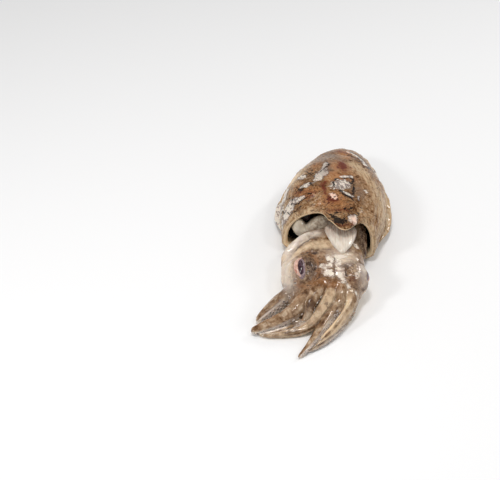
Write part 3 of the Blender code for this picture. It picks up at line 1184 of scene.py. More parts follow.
@dataclass
class Fins:
    """The two fins: soft ribbons along the sides of the mantle, with a rippled edge.

    reach and height hold, for each side, how far a fin stands out and how high it sits at its front and
    tail ends, and bare the middle and half the length of the stretch whose skin is peeled.
    """

    mantle: Mantle
    reach: dict[Side, Pair] = field(
        default_factory=lambda: {Side.RIGHT: (6.5, 5.0), Side.LEFT: (8.5, 4.0)}
    )
    height: dict[Side, Pair] = field(
        default_factory=lambda: {Side.RIGHT: (8.0, 17.0), Side.LEFT: (8.0, 13.0)}
    )
    thickness: float = 2.0
    droop: float = 0.35
    wave: float = 0.9
    waves: float = 6.5
    span: Pair = (0.93, 0.07)
    bare: dict[Side, Pair] = field(
        default_factory=lambda: {Side.RIGHT: (96.0, 8.0), Side.LEFT: (40.0, 20.0)}
    )

    def build(self, side: Side) -> Piece:
        """The fin on one side.

        Args:
            side: Which.

        Returns:
            The fin, painted.
        """

        def place(shares: Values, turns: Values) -> Points:
            """Points of the fin.

            Args:
                shares: Shares of the way from one end to the other.
                turns: Turns about that way, in radians.

            Returns:
                The points.
            """
            first, last = self.span
            to_lip = first + (last - first) * shares
            margin_turn = np.full(len(shares), 0.0 if side is Side.RIGHT else math.pi)
            nothing = np.zeros(len(shares))
            away, margin, _ = self.mantle.own_point(to_lip, margin_turn, nothing, nothing + 1, nothing)
            reach = np.interp(shares, (0, 1), self.reach[side]) * round_end(shares) * np.cos(turns)
            thick = self.thickness / 2 * np.sin(turns) * round_end(shares)
            frill = 0.25 * np.sin(math.tau * 2.7 * self.waves * shares) * step(reach, 0.0, 6.0)
            wave = self.wave * np.sin(math.tau * self.waves * shares) + frill
            up = np.interp(shares, (0, 1), self.height[side]) + wave - self.droop * reach + thick
            return self.mantle.to_body(away, margin + side.value * (reach - 1.0), up)

        shape, shares, turns = drawn_ball(around=28, rows=320, place=place)
        piece = Piece.from_shape(f"fin_{side.name.lower()}", shape)
        points = piece.points()
        piece.swell(0.15 * ripple(points, 3.0, 7.0) * round_end(shares))
        edge = step(np.cos(turns), 0.35, 0.85)
        piece.add(Mark.CREAM, 0.25 + 0.6 * edge)
        middle, half = self.bare[side]
        from_bare = np.abs(roughened(points, 2.0, 6.0)[:, 1] - middle)
        piece.add(Mark.PEEL, 0.85 * step(from_bare, 1.3 * half, 0.8 * half))
        # Painted shade along the fin's root, where it folds against the mantle, broken up.
        fold = step(np.cos(turns), 0.45, 0.05)
        piece.add(Mark.INK, 0.9 * fold * step(ripple(points, 6.0, 8.0), -0.2, 0.3))
        piece.add(Mark.STREAK, 0.4 * step(ripple(points, 2.2, 9.0), 0.1, 0.5) * (1 - edge))
        return piece


@dataclass(frozen=True)
class Arm:
    """One arm: its route from root to tip, its radii along it, and the way its suckers face.

    oral_turn is the way that the sucker side faces, in degrees about the arm: 0 is to the right as it runs,
    and 90 up. pale is how much cream its skin has.
    """

    name: str
    route: tuple[Triple, ...]
    radii: tuple[float, ...]
    oral_turn: float
    pale: float = 0.4

    def track(self) -> Track:
        """The arm's curve: point and radius.

        Returns:
            A track with a middle and a radius at each station.
        """
        last = len(self.route) - 1
        pairs = enumerate(zip(self.route, self.radii))
        return Track(tuple((number / last, *point, radius) for number, (point, radius) in pairs))

    def stretch(self, places: Values) -> tuple[Points, Values, Points, Points]:
        """Where the arm runs.

        Args:
            places: Shares of its length.

        Returns:
            The middles, the radii, and the directions across and over.
        """
        track = self.track()
        rows = track.at(places)
        ahead, behind = (track.at(np.clip(places + gap, 0.0, 1.0))[:, :3] for gap in (0.01, -0.01))
        heading = (ahead - behind) / np.linalg.norm(ahead - behind, axis=1)[:, None]
        across = np.cross(heading, (0.0, 0.0, 1.0))
        across /= np.linalg.norm(across, axis=1)[:, None]
        return rows[:, :3], rows[:, 3], across, np.cross(across, heading)

    def profile(self, turns: Values) -> Values:
        """How far the section reaches at turns from the sucker side, as a share of the radius.

        Args:
            turns: Turns from the sucker side, in radians.

        Returns:
            The reach at each.
        """
        off = np.abs((turns + math.pi) % math.tau - math.pi)
        face = -0.13 * hump(off, 0.0, 0.62)
        edges = 0.06 * hump(off, 1.0, 0.25)
        keel = 0.05 * hump(off, math.pi, 0.5)
        return 1 + face + edges + keel

    def shape(self) -> Shape:
        """The arm alone.

        Returns:
            A closed shape in millimetres.
        """

        def place(shares: Values, turns: Values) -> Points:
            """Points of the arm.

            Args:
                shares: Shares of the way from one end to the other.
                turns: Turns about that way, in radians.

            Returns:
                The points.
            """
            middles, radii, across, over = self.stretch(along_body(shares))
            size = radii * round_end(shares) * self.profile(turns - math.radians(self.oral_turn))
            outward = np.cos(turns)[:, None] * across + np.sin(turns)[:, None] * over
            return middles + size[:, None] * outward

        return drawn_ball(around=48, rows=90, place=place)[0]


@dataclass
class HeadAndArms:
    """Neck, head, crown and arms in one skin.

    An arm's marks are read along it, starting arm_gap times its number, so that no two arms look the same.
    """

    # Share of the way from inside the mantle to the crown, then the middle, half-width and half-height.
    core: Track = Track(
        (
            (0.00, 10.0, 58.0, 18.0, 17.0, 12.0),
            (0.25, 5.0, 16.0, 18.0, 22.0, 12.0),
            (0.42, 3.0, -9.0, 18.0, 25.0, 13.0),
            (0.56, -1.0, -29.0, 17.0, 32.0, 15.0),
            (0.70, -3.0, -50.0, 16.0, 34.0, 15.5),
            (0.85, -3.5, -74.0, 13.5, 30.0, 14.0),
            (1.00, -7.0, -97.0, 9.0, 18.0, 8.0),
        )
    )
    left_eye: Mass = ((-19.0, -54.0, 18.5), (15.0, 18.0, 16.0))
    right_eye: Mass = ((18.0, -57.0, 17.5), (14.5, 17.0, 15.0))
    arms: tuple[Arm, ...] = (
        Arm(
            "left_rear",
            ((-20, -60, 15), (-29, -69, 12), (-38, -75, 9), (-47, -83, 6), (-55.5, -91, 3.5)),
            (8.5, 7.5, 6.0, 5.0, 3.6),
            168.0,
            0.0,
        ),
        Arm(
            "left_front",
            (
                (-10, -72, 18), (-19, -83, 18), (-29, -93, 13),
                (-40.5, -97, 8), (-52, -100.5, 5), (-60, -102.7, 3.5),
            ),
            (8.0, 7.0, 6.2, 5.2, 4.2, 3.2),
            212.0,
            0.3,
        ),
        Arm(
            "middle",
            ((-2, -68, 25), (-9, -80, 25), (-14.5, -88, 20), (-17, -92.5, 12), (-18, -96.5, 5)),
            (6.5, 6.0, 5.0, 4.2, 3.0),
            200.0,
            0.15,
        ),
        Arm(
            "inner",
            (
                (4, -70, 22), (0, -83, 21), (-5, -90, 15), (-12, -96, 8),
                (-21, -102, 4.5), (-35, -105, 3), (-51, -106.5, 2),
            ),
            (7.5, 7.0, 6.0, 5.0, 3.8, 2.8, 1.6),
            26.0,
            0.7,
        ),
        Arm(
            "right_inner",
            (
                (7, -68, 20), (6, -84, 18), (1, -94, 12.5),
                (-6, -104.5, 7.5), (-14, -117, 4.5), (-25, -130.5, 2),
            ),
            (8.0, 7.0, 5.8, 5.0, 3.8, 1.4),
            165.0,
            0.2,
        ),
        Arm(
            "right_outer",
            (
                (15, -60, 16), (15, -77, 15), (11, -88, 11),
                (3, -101, 7), (-7, -112.5, 4.5), (-19, -124, 2.5),
            ),
            (9.0, 8.0, 6.4, 5.2, 4.0, 1.8),
            232.0,
            1.0,
        ),
        Arm(
            "right_under",
            ((18, -56, 9), (18, -72, 8), (13, -86, 5), (4, -102, 3.5), (-7, -115, 2.5), (-17, -123, 1.5)),
            (8.0, 7.0, 5.4, 4.2, 3.0, 1.8),
            200.0,
            0.7,
        ),
        Arm(
            "left_under",
            (
                (-12, -66, 9), (-18, -80, 8), (-25, -90, 5),
                (-34, -98.5, 3.5), (-45, -103, 2.5), (-54, -105, 2),
            ),
            (8.5, 7.5, 5.6, 4.4, 3.2, 1.8),
            80.0,
            0.5,
        ),
    )
    folds: tuple[Arm, ...] = (
        Arm(
            "nape_fold",
            ((-10, -13, 27), (-16, -17, 28), (-24, -23, 25), (-31, -30, 19), (-33, -40, 13)),
            (4.0, 4.4, 4.4, 4.4, 4.0),
            270.0,
        ),
    )
    crown: Mass = ((-1.0, -73.0, 17.5), (21.0, 13.0, 11.5))
    web: Mass = ((-21.0, -96.0, 5.5), (12.0, 5.5, 4.5))
    voxel: float = 0.66
    crease_depth: float = 1.0
    furrow_depth: float = 0.4
    peel_and_highlight_depth: float = 0.3
    near_arms: float = -56.0
    arm_places: int = 70
    arm_gap: float = 200.0
    marks: tuple[Patch | Stroke, ...] = (
        # Peeled white skin, and white patches painted as wet highlights on the crown and the right of the
        # head.
        *patches(
            Mark.PEEL,
            (-1.5, -56, 6, 3.2, 10), (0.2, -63.5, 5, 4.4, -15), (1.5, -48, 2.8, 5.6, 20),
            (9.4, -63, 3.8, 8, 8), (8.4, -51, 2.4, 5.6, -10), (15, -74, 1.8, 3, 20),
            (22, -66, 1.6, 2.4, -20), (25, -24, 3, 4), (9.5, -43.5, 6.5, 2.4, 10), (21, -77, 1.8, 3),
            (16, -57, 1.6, 2.6, 30),
        ),
        *patches(
            Mark.INK,
            (-12.5, -58.5, 6.5, 13, 0, 0.52), (19, -60, 7, 12, 0, 0.48), (-30, -68, 7, 7, 0, 0.36),
            (-15, -97, 5.5, 4, 0, 0.6),
        ),
        *strokes(
            Mark.INK,
            (((5.6, -41), (4.8, -56), (5.6, -70)), 0.6, 0.6),
            (((12.5, -54), (15, -60), (13, -66)), 0.9, 0.75),
            (((-20, -40), (-14, -40), (-8, -41)), 1.6, 0.65),
            (((-9, -19), (-18, -25.5), (-26, -33)), 0.9, 0.9),
        ),
        *patches(
            Mark.FLESH,
            (15, -48, 8, 7, 0, 0.5), (12, -40, 10, 6, 0, 0.5), (-20, -96.5, 9, 4.5, 0, 0.4),
            (27, -60, 4, 10, 0, 0.6), (-31, -70, 7, 6, 0, 0.2),
        ),
        *strokes(
            Mark.FLESH,
            (((-8, -13), (-16, -17), (-24, -23), (-31, -30)), 3.6, 0.9),
            (((-30, -33), (-33, -44), (-34, -56), (-31, -67)), 4.4, 0.6),
        ),
        *patches(
            Mark.RUSSET,
            (-7, -65, 3.4, 6, 0, 0.7), (19.5, -69, 5, 5, 0, 0.85),
        ),
        *strokes(
            Mark.RUSSET,
            (oval(-18, -56, 10.5, 18, 95, 260), 1.3, 0.55),
        ),
        *patches(
            Mark.ORANGE,
            (-4, -46, 4.5, 12, 0, 0.5), (-3, -78, 15, 8),
        ),
        *strokes(
            Mark.ORANGE,
            (oval(-18, -56, 10.5, 18), 2.6, 0.65),
        ),
        *patches(
            Mark.CREAM,
            (-5, -30, 10, 7, 0, 0.8), (16, -46, 8, 9, 0, 0.8), (19.5, -62.5, 4, 4, 0, 0.6),
            (20, -88, 8, 18, 20, 0.7),
        ),
        *strokes(
            Mark.CREAM,
            (((-12, -30), (-21, -34), (-28, -41), (-31, -52), (-30, -64)), 3.2, 0.9),
            (((-33, -34), (-36, -46), (-36, -58)), 4, 0.9),
        ),
        *patches(
            Mark.GREY,
            (-12.5, -58.5, 5.5, 10), (-31, -72, 8, 8), (14.5, -48, 6, 9, 0, 0.5), (-20, -96.5, 11, 5.5),
        ),
    )

    def core_shape(self) -> Shape:
        """Neck, head and crown alone.

        Returns:
            A closed shape in millimetres.
        """

        def place(shares: Values, turns: Values) -> Points:
            """Points of neck, head and crown.

            Args:
                shares: Shares of the way from one end to the other.
                turns: Turns about that way, in radians.

            Returns:
                The points.
            """
            x, y, z, width, height = self.core.at(along_body(shares)).T
            cap = round_end(shares)
            return np.stack([x + width * cap * np.cos(turns), y, z + height * cap * np.sin(turns)], axis=1)

        return drawn_ball(around=96, rows=110, place=place)[0]

    def mass_shape(self, centre: Triple, half_sizes: Triple) -> Shape:
        """An egg-shaped mass alone.

        Args:
            centre: Its middle.
            half_sizes: Half its size along each axis.

        Returns:
            A closed shape in millimetres.
        """

        def place(shares: Values, turns: Values) -> Points:
            """Points of the mass.

            Args:
                shares: Shares of the way from one end to the other.
                turns: Turns about that way, in radians.

            Returns:
                The points.
            """
            ring = np.sin(math.pi * shares)
            unit = np.stack([ring * np.cos(turns), np.cos(math.pi * shares), ring * np.sin(turns)], axis=1)
            return np.array(centre) + unit * half_sizes

        return drawn_ball(around=64, rows=48, place=place)[0]

    def build(self) -> Piece:
        """The one skin, with its wrinkles and paint.

        Returns:
            The skin of neck, head and arms.
        """
        masses = (self.left_eye, self.right_eye, self.crown, self.web)
        shapes = [self.core_shape(), *(self.mass_shape(*mass) for mass in masses)]
        shapes += [arm.shape() for arm in (*self.arms, *self.folds)]
        piece = Piece("head_and_arms", self.grown_together(shapes))
        points = piece.points()
        arm_share, along, off, pale, crease = self.nearest_arm(points)
        lumps = 0.5 * ripple(points, 12.0, 31.0) + 0.3 * ripple(points, 5.0, 32.0)
        grain = np.stack([off * 5.0, along, np.zeros(len(along))], axis=1)
        lengthwise = 0.4 * ridges(grain, (3.4, 40.0, 1.0), 33.0) * step(arm_share, 0.3, 0.8)
        wrinkles = 0.2 * ridges(points, (5.0, 7.0, 5.0), 34.0) * (1 - step(arm_share, 0.3, 0.8))
        piece.swell(lumps * (1 - 0.6 * arm_share) + lengthwise + wrinkles)
        piece.swell(self.eye_relief(points) - self.crease_depth * crease)
        # Painted shade in the creases between the arms, fainter on the crown.
        off_crown = 0.4 + 0.6 * step(points[:, 1], -84.0, -102.0)
        piece.add(Mark.STREAK, (0.35 + 0.55 * step(arm_share, 0.6, 1.0)) * crease * off_crown)
        self.paint(piece, arm_share, along, off, pale)
        # Sinks the peeled patches and the painted highlights a little into the skin.
        piece.swell(-self.peel_and_highlight_depth * step(piece.paint[Mark.PEEL], 0.48, 0.62))
        piece.settle()
        return piece

    def grown_together(self, shapes: list[Shape]) -> bpy.types.Mesh:
        """One skin round all the shapes, with its creases eased.

        Args:
            shapes: Closed shapes in millimetres, which are freed.

        Returns:
            The mesh.
        """
        together = bpy.data.meshes.new("head_and_arms")
        whole = bmesh.new()
        for shape in shapes:
            part = bpy.data.meshes.new("part")
            shape.to_mesh(part)
            shape.free()
            whole.from_mesh(part)
            bpy.data.meshes.remove(part)
        whole.to_mesh(together)
        whole.free()
        rough = bpy.data.objects.new("rough", together)
        bpy.context.scene.collection.objects.link(rough)
        remesh = rough.modifiers.new("one_skin", "REMESH")
        remesh.mode = "VOXEL"
        remesh.voxel_size = self.voxel
        ease = rough.modifiers.new("ease", "SMOOTH")
        ease.factor = 0.5
        ease.iterations = 5
        bpy.context.view_layer.update()
        evaluated = rough.evaluated_get(bpy.context.evaluated_depsgraph_get())
        mesh = bpy.data.meshes.new_from_object(evaluated)
        bpy.data.objects.remove(rough)
        bpy.data.meshes.remove(together)
        return mesh

    def nearest_arm(self, points: Points) -> tuple[Values, Values, Values, Values, Values]:
        """How each point lies to the arm that it is on.

        Args:
            points: Points of the skin.

        Returns:
            How much the point belongs to an arm, how far along it is, its turn from the sucker side, how
            pale its arm is, and how near it is to the crease between two arms.
        """
        count = len(points)
        x, y, _ = points.T
        best, second = np.full(count, 9.0), np.full(count, 9.0)
        along, off, pale = np.zeros(count), np.zeros(count), np.zeros(count)
        places = np.linspace(0.0, 1.0, self.arm_places)
        near = np.flatnonzero(y < self.near_arms)
        for number, arm in enumerate(self.arms):
            middles, radii, across, over = arm.stretch(places)
            gaps = np.linalg.norm(points[near][:, None, :] - middles[None], axis=2) / radii[None]
            closest = gaps.argmin(axis=1)
            reach = gaps[np.arange(len(near)), closest]
            outward = points[near] - middles[closest]
            right = np.einsum("ij,ij->i", outward, across[closest])
            up = np.einsum("ij,ij->i", outward, over[closest])
            turn = np.arctan2(up, right) - math.radians(arm.oral_turn)
            lengths = np.concatenate([[0.0], np.cumsum(np.linalg.norm(np.diff(middles, axis=0), axis=1))])
            better = reach < best[near]
            second[near] = np.where(better, best[near], np.minimum(second[near], reach))
            chosen = near[better]
            best[chosen] = reach[better]
            along[chosen] = lengths[closest[better]] + self.arm_gap * (number + 1)
            off[chosen] = (turn[better] + math.pi) % math.tau - math.pi
            pale[chosen] = arm.pale
        beside_crown = step(x, -30.0, -40.0) * step(y, -66.0, -74.0)
        outer = np.maximum(step(y, -72.0, -88.0), beside_crown)
        crease = hump(second - best, 0.0, 0.13) * step(second, 1.7, 1.3)
        return step(best, 1.5, 1.15) * outer, along, off, pale, crease * step(y, -66.0, -80.0)

    def eye_relief(self, points: Points) -> Values:
        """The furrow round the dome of each eye.

        Args:
            points: Points of the skin.

        Returns:
            How far each is raised, in millimetres.
        """
        relief = np.zeros(len(points))
        for centre, half_sizes in (self.left_eye, self.right_eye):
            across = (points[:, 0] - centre[0]) / (0.75 * half_sizes[0])
            away = np.hypot(across, (points[:, 1] - centre[1]) / half_sizes[1])
            relief -= self.furrow_depth * hump(away, 1.0, 0.14) * step(points[:, 2], 14.0, 22.0)
        return relief

    def paint(self, piece: Piece, arm_share: Values, along: Values, off: Values, pale: Values) -> None:
        """Paints the skin's marks, the arms' sucker sides and their lengthwise streaks.

        Args:
            piece: The skin.
            arm_share: How much each point belongs to an arm.
            along: How far along its arm each point is.
            off: The turn of each point from the sucker side.
            pale: How pale the arm at each point is.
        """
        points = piece.points()
        ragged = roughened(points, 1.2, 3.6)
        upper = step(piece.normals()[:, 2], -0.1, 0.3) * (1 - 0.8 * arm_share)
        for mark in self.marks:
            mark.paint(piece, ragged, upper)
        grain = np.stack([off * 5.0, along, np.zeros(len(along))], axis=1)
        streaks = rough_ripple(grain, (1.6, 34.0, 1.0), 44.0)
        broken = step(ripple(grain, (2.0, 6.0, 1.0), 45.0), -0.35, 0.2)
        clear = np.maximum(step(points[:, 1], -93.0, -107.0), step(points[:, 0], -26.0, -34.0))
        face = step(np.abs(off), 1.0, 0.72) * arm_share * clear
        edge = hump(np.abs(off), 1.0, 0.16) * arm_share * clear
        piece.dull(Mark.ORANGE, face)
        piece.add(Mark.FLESH, 0.9 * face * step(streaks, 1.0, -0.1))
        piece.add(Mark.CREAM, (0.35 + 0.6 * pale) * edge * broken)
        piece.add(Mark.STREAK, 0.8 * step(streaks, 0.25, 0.6) * arm_share * (1 - face))
        # Painted shade: thin dark lines along the edges of the sucker side, broken up.
        groove_shade = hump(np.abs(off), 0.8, 0.10) * arm_share * clear
        piece.add(Mark.INK, 0.5 * groove_shade * step(ripple(grain, (3.0, 5.0, 1.0), 46.0), 0.1, 0.5))
        lit = step(ripple(grain, (2.6, 44.0, 1.0), 47.0), -0.6, 0.5)
        piece.add(Mark.CREAM, (0.35 + 0.65 * lit) * pale * arm_share * (1 - face))
        keel = step(np.abs(off), 1.8, 2.6) * arm_share
        piece.add(Mark.ORANGE, 0.75 * keel * step(streaks, 0.3, -0.3))
        piece.add(Mark.GREY, step(points[:, 1], -26.0, -10.0))
        under = step(piece.normals()[:, 2], 0.0, -0.5)
        piece.add(Mark.CREAM, under * (1 - face))


@dataclass
class Suckers:
    """Small cups in rows along the sucker side of every arm.

    rows are the angles of the rows off the middle of that side, in degrees, and span is the stretch of the
    arm that they are on. A cup sits at least clearance times its size above the table, at most most_buried
    times the arm's radius from its middle, where the skin faces outward by facing or more, one being fully,
    and sunk times its own width deep in the skin.
    """

    body: HeadAndArms
    rows: tuple[float, ...] = (-26.0, -9.0, 9.0, 26.0)
    pitch: float = 1.3
    share_of_radius: float = 0.17
    most_buried: float = 1.25
    clearance: float = 1.6
    segments: int = 10
    inner_rings: int = 2
    count: int = 0
    span: Pair = (0.34, 0.97)
    sunk: float = 0.25
    facing: float = 0.35
    # How far each ring of a cup is above the one before it, and its width as a share of that one's.
    rings: tuple[Pair, ...] = ((0.55, 1.28), (0.35, 1.0), (0.12, 0.82), (-0.05, 0.72), (-0.45, 0.8))

    def cup(self) -> bpy.types.Mesh:
        """One cup of radius one, facing +Z from the origin.

        Returns:
            The cup's mesh, which is copied for each sucker.
        """
        shape = bmesh.new()
        bmesh.ops.create_circle(shape, cap_ends=True, segments=self.segments, radius=0.75)
        floor = shape.faces[:]
        for depth, width in self.rings:
            made = bmesh.ops.extrude_face_region(shape, geom=floor)["geom"]
            bmesh.ops.delete(shape, geom=floor, context="FACES_ONLY")
            floor = [item for item in made if isinstance(item, bmesh.types.BMFace)]
            verts = [item for item in made if isinstance(item, bmesh.types.BMVert)]
            bmesh.ops.translate(shape, verts=verts, vec=(0.0, 0.0, depth))
            bmesh.ops.scale(shape, verts=verts, vec=(width, width, 1.0))
        bmesh.ops.holes_fill(shape, edges=[edge for edge in shape.edges if edge.is_boundary], sides=0)
        bmesh.ops.recalc_face_normals(shape, faces=shape.faces)
        mesh = bpy.data.meshes.new("cup")
        shape.to_mesh(mesh)
        shape.free()
        return mesh

    def build(self, surface: Surface) -> Piece:
        """All the cups, set on the skin.

        Args:
            surface: The skin of head and arms.

        Returns:
            The cups in one piece.
        """
        cup = self.cup()
        shape = bmesh.new()
        for arm in self.body.arms:
            self.set_along(arm, surface, cup, shape)
        bpy.data.meshes.remove(cup)
        piece = Piece.from_shape("suckers", shape)
        each = len(piece.mesh.vertices) // self.count
        # Painted shade: the innermost rings, down in each cup, are dark.
        inside = np.tile(np.arange(each) >= each - self.inner_rings * self.segments, self.count)
        piece.add(Mark.STREAK, inside.astype(float))
        return piece

    def set_along(self, arm: Arm, surface: Surface, cup: bpy.types.Mesh, shape: Shape) -> None:
        """Sets cups along one arm.

        Args:
            arm: The arm.
            surface: The skin.
            cup: The cup that is copied.
            shape: What the copies are added to.
        """
        length = float(np.linalg.norm(np.diff(np.array(arm.route), axis=0), axis=1).sum())
        (at, end), number = self.span, 0
        while at < end:
            middles, radii, across, over = arm.stretch(np.array([at]))
            size = float(radii[0]) * self.share_of_radius
            for row, angle in enumerate(self.rows):
                turn = math.radians(arm.oral_turn + angle)
                outward = Vector(math.cos(turn) * across[0] + math.sin(turn) * over[0])
                wobble = 0.5 + 0.5 * math.sin(7.3 * number + 2.1 * row)
                found = surface.out_from(middles[0], outward)
                if (row + number) % 2 or found is None:
                    continue
                point, normal = found
                if point.z < self.clearance * size or normal.dot(outward) < self.facing:
                    continue
                if (point - Vector(middles[0])).length > self.most_buried * radii[0]:
                    continue
                before = len(shape.verts)
                shape.from_mesh(cup)
                shape.verts.ensure_lookup_table()
                turned = normal.to_track_quat("Z", "Y").to_matrix().to_4x4()
                wide = size * (0.7 + 0.5 * wobble)
                moved = Matrix.Translation(point - self.sunk * wide * normal)
                wanted = moved @ turned @ Matrix.Scale(wide, 4)
                bmesh.ops.transform(shape, matrix=wanted, verts=shape.verts[before:])
                self.count += 1
            at += self.pitch * 2 * size / length
            number += 1


@dataclass
class NapeShield:
    """The smooth pale tongue over the nape, under the mantle's lobe."""

    # Share of the way from its tip, then the middle, half-width and half-height there.
    stations: Track = Track(
        (
            (0.00, 12.2, -40.0, 30.8, 2.2, 1.6),
            (0.12, 12.2, -36.8, 31.2, 4.2, 2.4),
            (0.30, 12.4, -31.0, 31.3, 7.4, 3.2),
            (0.55, 12.7, -21.5, 31.2, 11.0, 3.8),
            (0.80, 12.6, -11.0, 31.0, 13.4, 4.2),
            (1.00, 12.0, -2.0, 30.5, 13.0, 4.2),
        )
    )

    def build(self) -> Piece:
        """The tongue, ribbed towards the lobe.

        Returns:
            The tongue.
        """

        def place(shares: Values, turns: Values) -> Points:
            """Points of the tongue.

            Args:
                shares: Shares of the way from one end to the other.
                turns: Turns about that way, in radians.

            Returns:
                The points.
            """
            x, y, z, width, height = self.stations.at(along_body(shares)).T
            across = width * round_end(shares) * np.cos(turns)
            top = np.sign(np.sin(turns)) * np.abs(np.sin(turns)) ** 0.8
            ribs = 0.06 * np.cos(1.7 * across + 0.5 * np.sin(0.3 * y)) * step(y, -38.0, -22.0) * (top > 0)
            return np.stack([x + across, y, z + (height + ribs) * top * round_end(shares)], axis=1)

        shape, _, _ = drawn_ball(around=120, rows=100, place=place)
        piece = Piece.from_shape("nape_shield", shape)
        points = piece.points()
        red = step(rough_ripple(points, (1.0, 30.0, 8.0), 52.0), 0.1, 0.6)
        red *= step(points[:, 1], -30.0, -12.0)
        shaded = step(points[:, 1], -32.0, -14.0)
        piece.add(Mark.STREAK, 0.75 * red + 0.45 * shaded)
        return piece


@dataclass
class Collar:
    """The pale collar round the neck, notched on the left, that shows in the mantle's mouth."""

    # Share of the way across, the middle's place, half the depth, and how far it reaches up and down.
    stations: Track = Track(
        (
            (0.00, -27.0, 4.5, 24.0, 5.5, 6.0, 7.0),
            (0.12, -22.5, 3.5, 24.5, 6.5, 10.0, 8.5),
            (0.22, -18.5, 2.5, 24.5, 6.5, 8.0, 8.5),
            (0.31, -15.0, 1.5, 24.5, 6.5, 3.6, 8.0),
            (0.42, -11.0, 0.5, 25.0, 7.0, 7.5, 8.0),
            (0.55, -6.0, -0.5, 25.5, 7.0, 12.0, 8.0),
            (0.75, 2.0, -1.0, 26.0, 7.0, 13.0, 8.0),
            (1.00, 13.0, -1.0, 26.0, 6.5, 11.0, 8.0),
        )
    )

    def build(self) -> Piece:
        """The collar's thick fold.

        Returns:
            The collar.
        """

        def place(shares: Values, turns: Values) -> Points:
            """Points of the fold.

            Args:
                shares: Shares of the way from one end to the other.
                turns: Turns about that way, in radians.

            Returns:
                The points.
            """
            x, y, z, depth, up, down = self.stations.at(shares).T
            cap = round_end(shares, 3.4)
            reach = np.where(np.sin(turns) > 0, up, down)
            return np.stack([x, y + depth * cap * np.cos(turns), z + reach * cap * np.sin(turns)], axis=1)

        shape, shares, _ = drawn_ball(around=96, rows=160, place=place)
        piece = Piece.from_shape("collar", shape)
        points = piece.points()
        piece.swell(0.35 * ripple(points, 7.0, 51.0) * round_end(shares))
        # Painted shade: darker towards the right, in under the mantle's lobe, and on its lower side.
        piece.add(Mark.STREAK, 0.9 * step(points[:, 0], -20.0, -6.0) + 0.4 * step(points[:, 2], 26.0, 20.0))
        return piece


@dataclass
class Organ:
    """A dark rounded organ deep in the mantle's mouth."""

    centre: Triple = (-15.0, 10.0, 32.0)
    radius: float = 4.8

    def build(self) -> Piece:
        """A slightly lumpy ball.

        Returns:
            The organ.
        """
        shape = bmesh.new()
        bmesh.ops.create_icosphere(shape, subdivisions=5, radius=self.radius)
        bmesh.ops.translate(shape, verts=shape.verts, vec=self.centre)
        piece = Piece.from_shape("organ", shape)
        piece.swell(0.5 * ripple(piece.points(), 4.0, 61.0))
        return piece


@dataclass
class NeckBand:
    """The band of muscle that joins the neck to the mantle's right side."""

    tube: Arm = Arm(
        "neck_band",
        ((21, 14, 26), (28.0, 0, 27), (29.5, -8, 19), (28.5, -15, 10.5), (21, -22, 8)),
        (6.0, 5.6, 5.4, 5.6, 6.0),
        270.0,
    )

    def build(self) -> Piece:
        """The band, with painted shade at its outer side, in the gap against the mantle's wall.

        Returns:
            The band.
        """
        piece = Piece.from_shape("neck_band", self.tube.shape())
        points = piece.points()
        piece.swell(0.4 * ripple(points, 6.0, 55.0))
        # Painted shade at the outer side, in the gap against the mantle's wall.
        piece.add(Mark.STREAK, step(points[:, 0], 24.0, 31.0))
        return piece


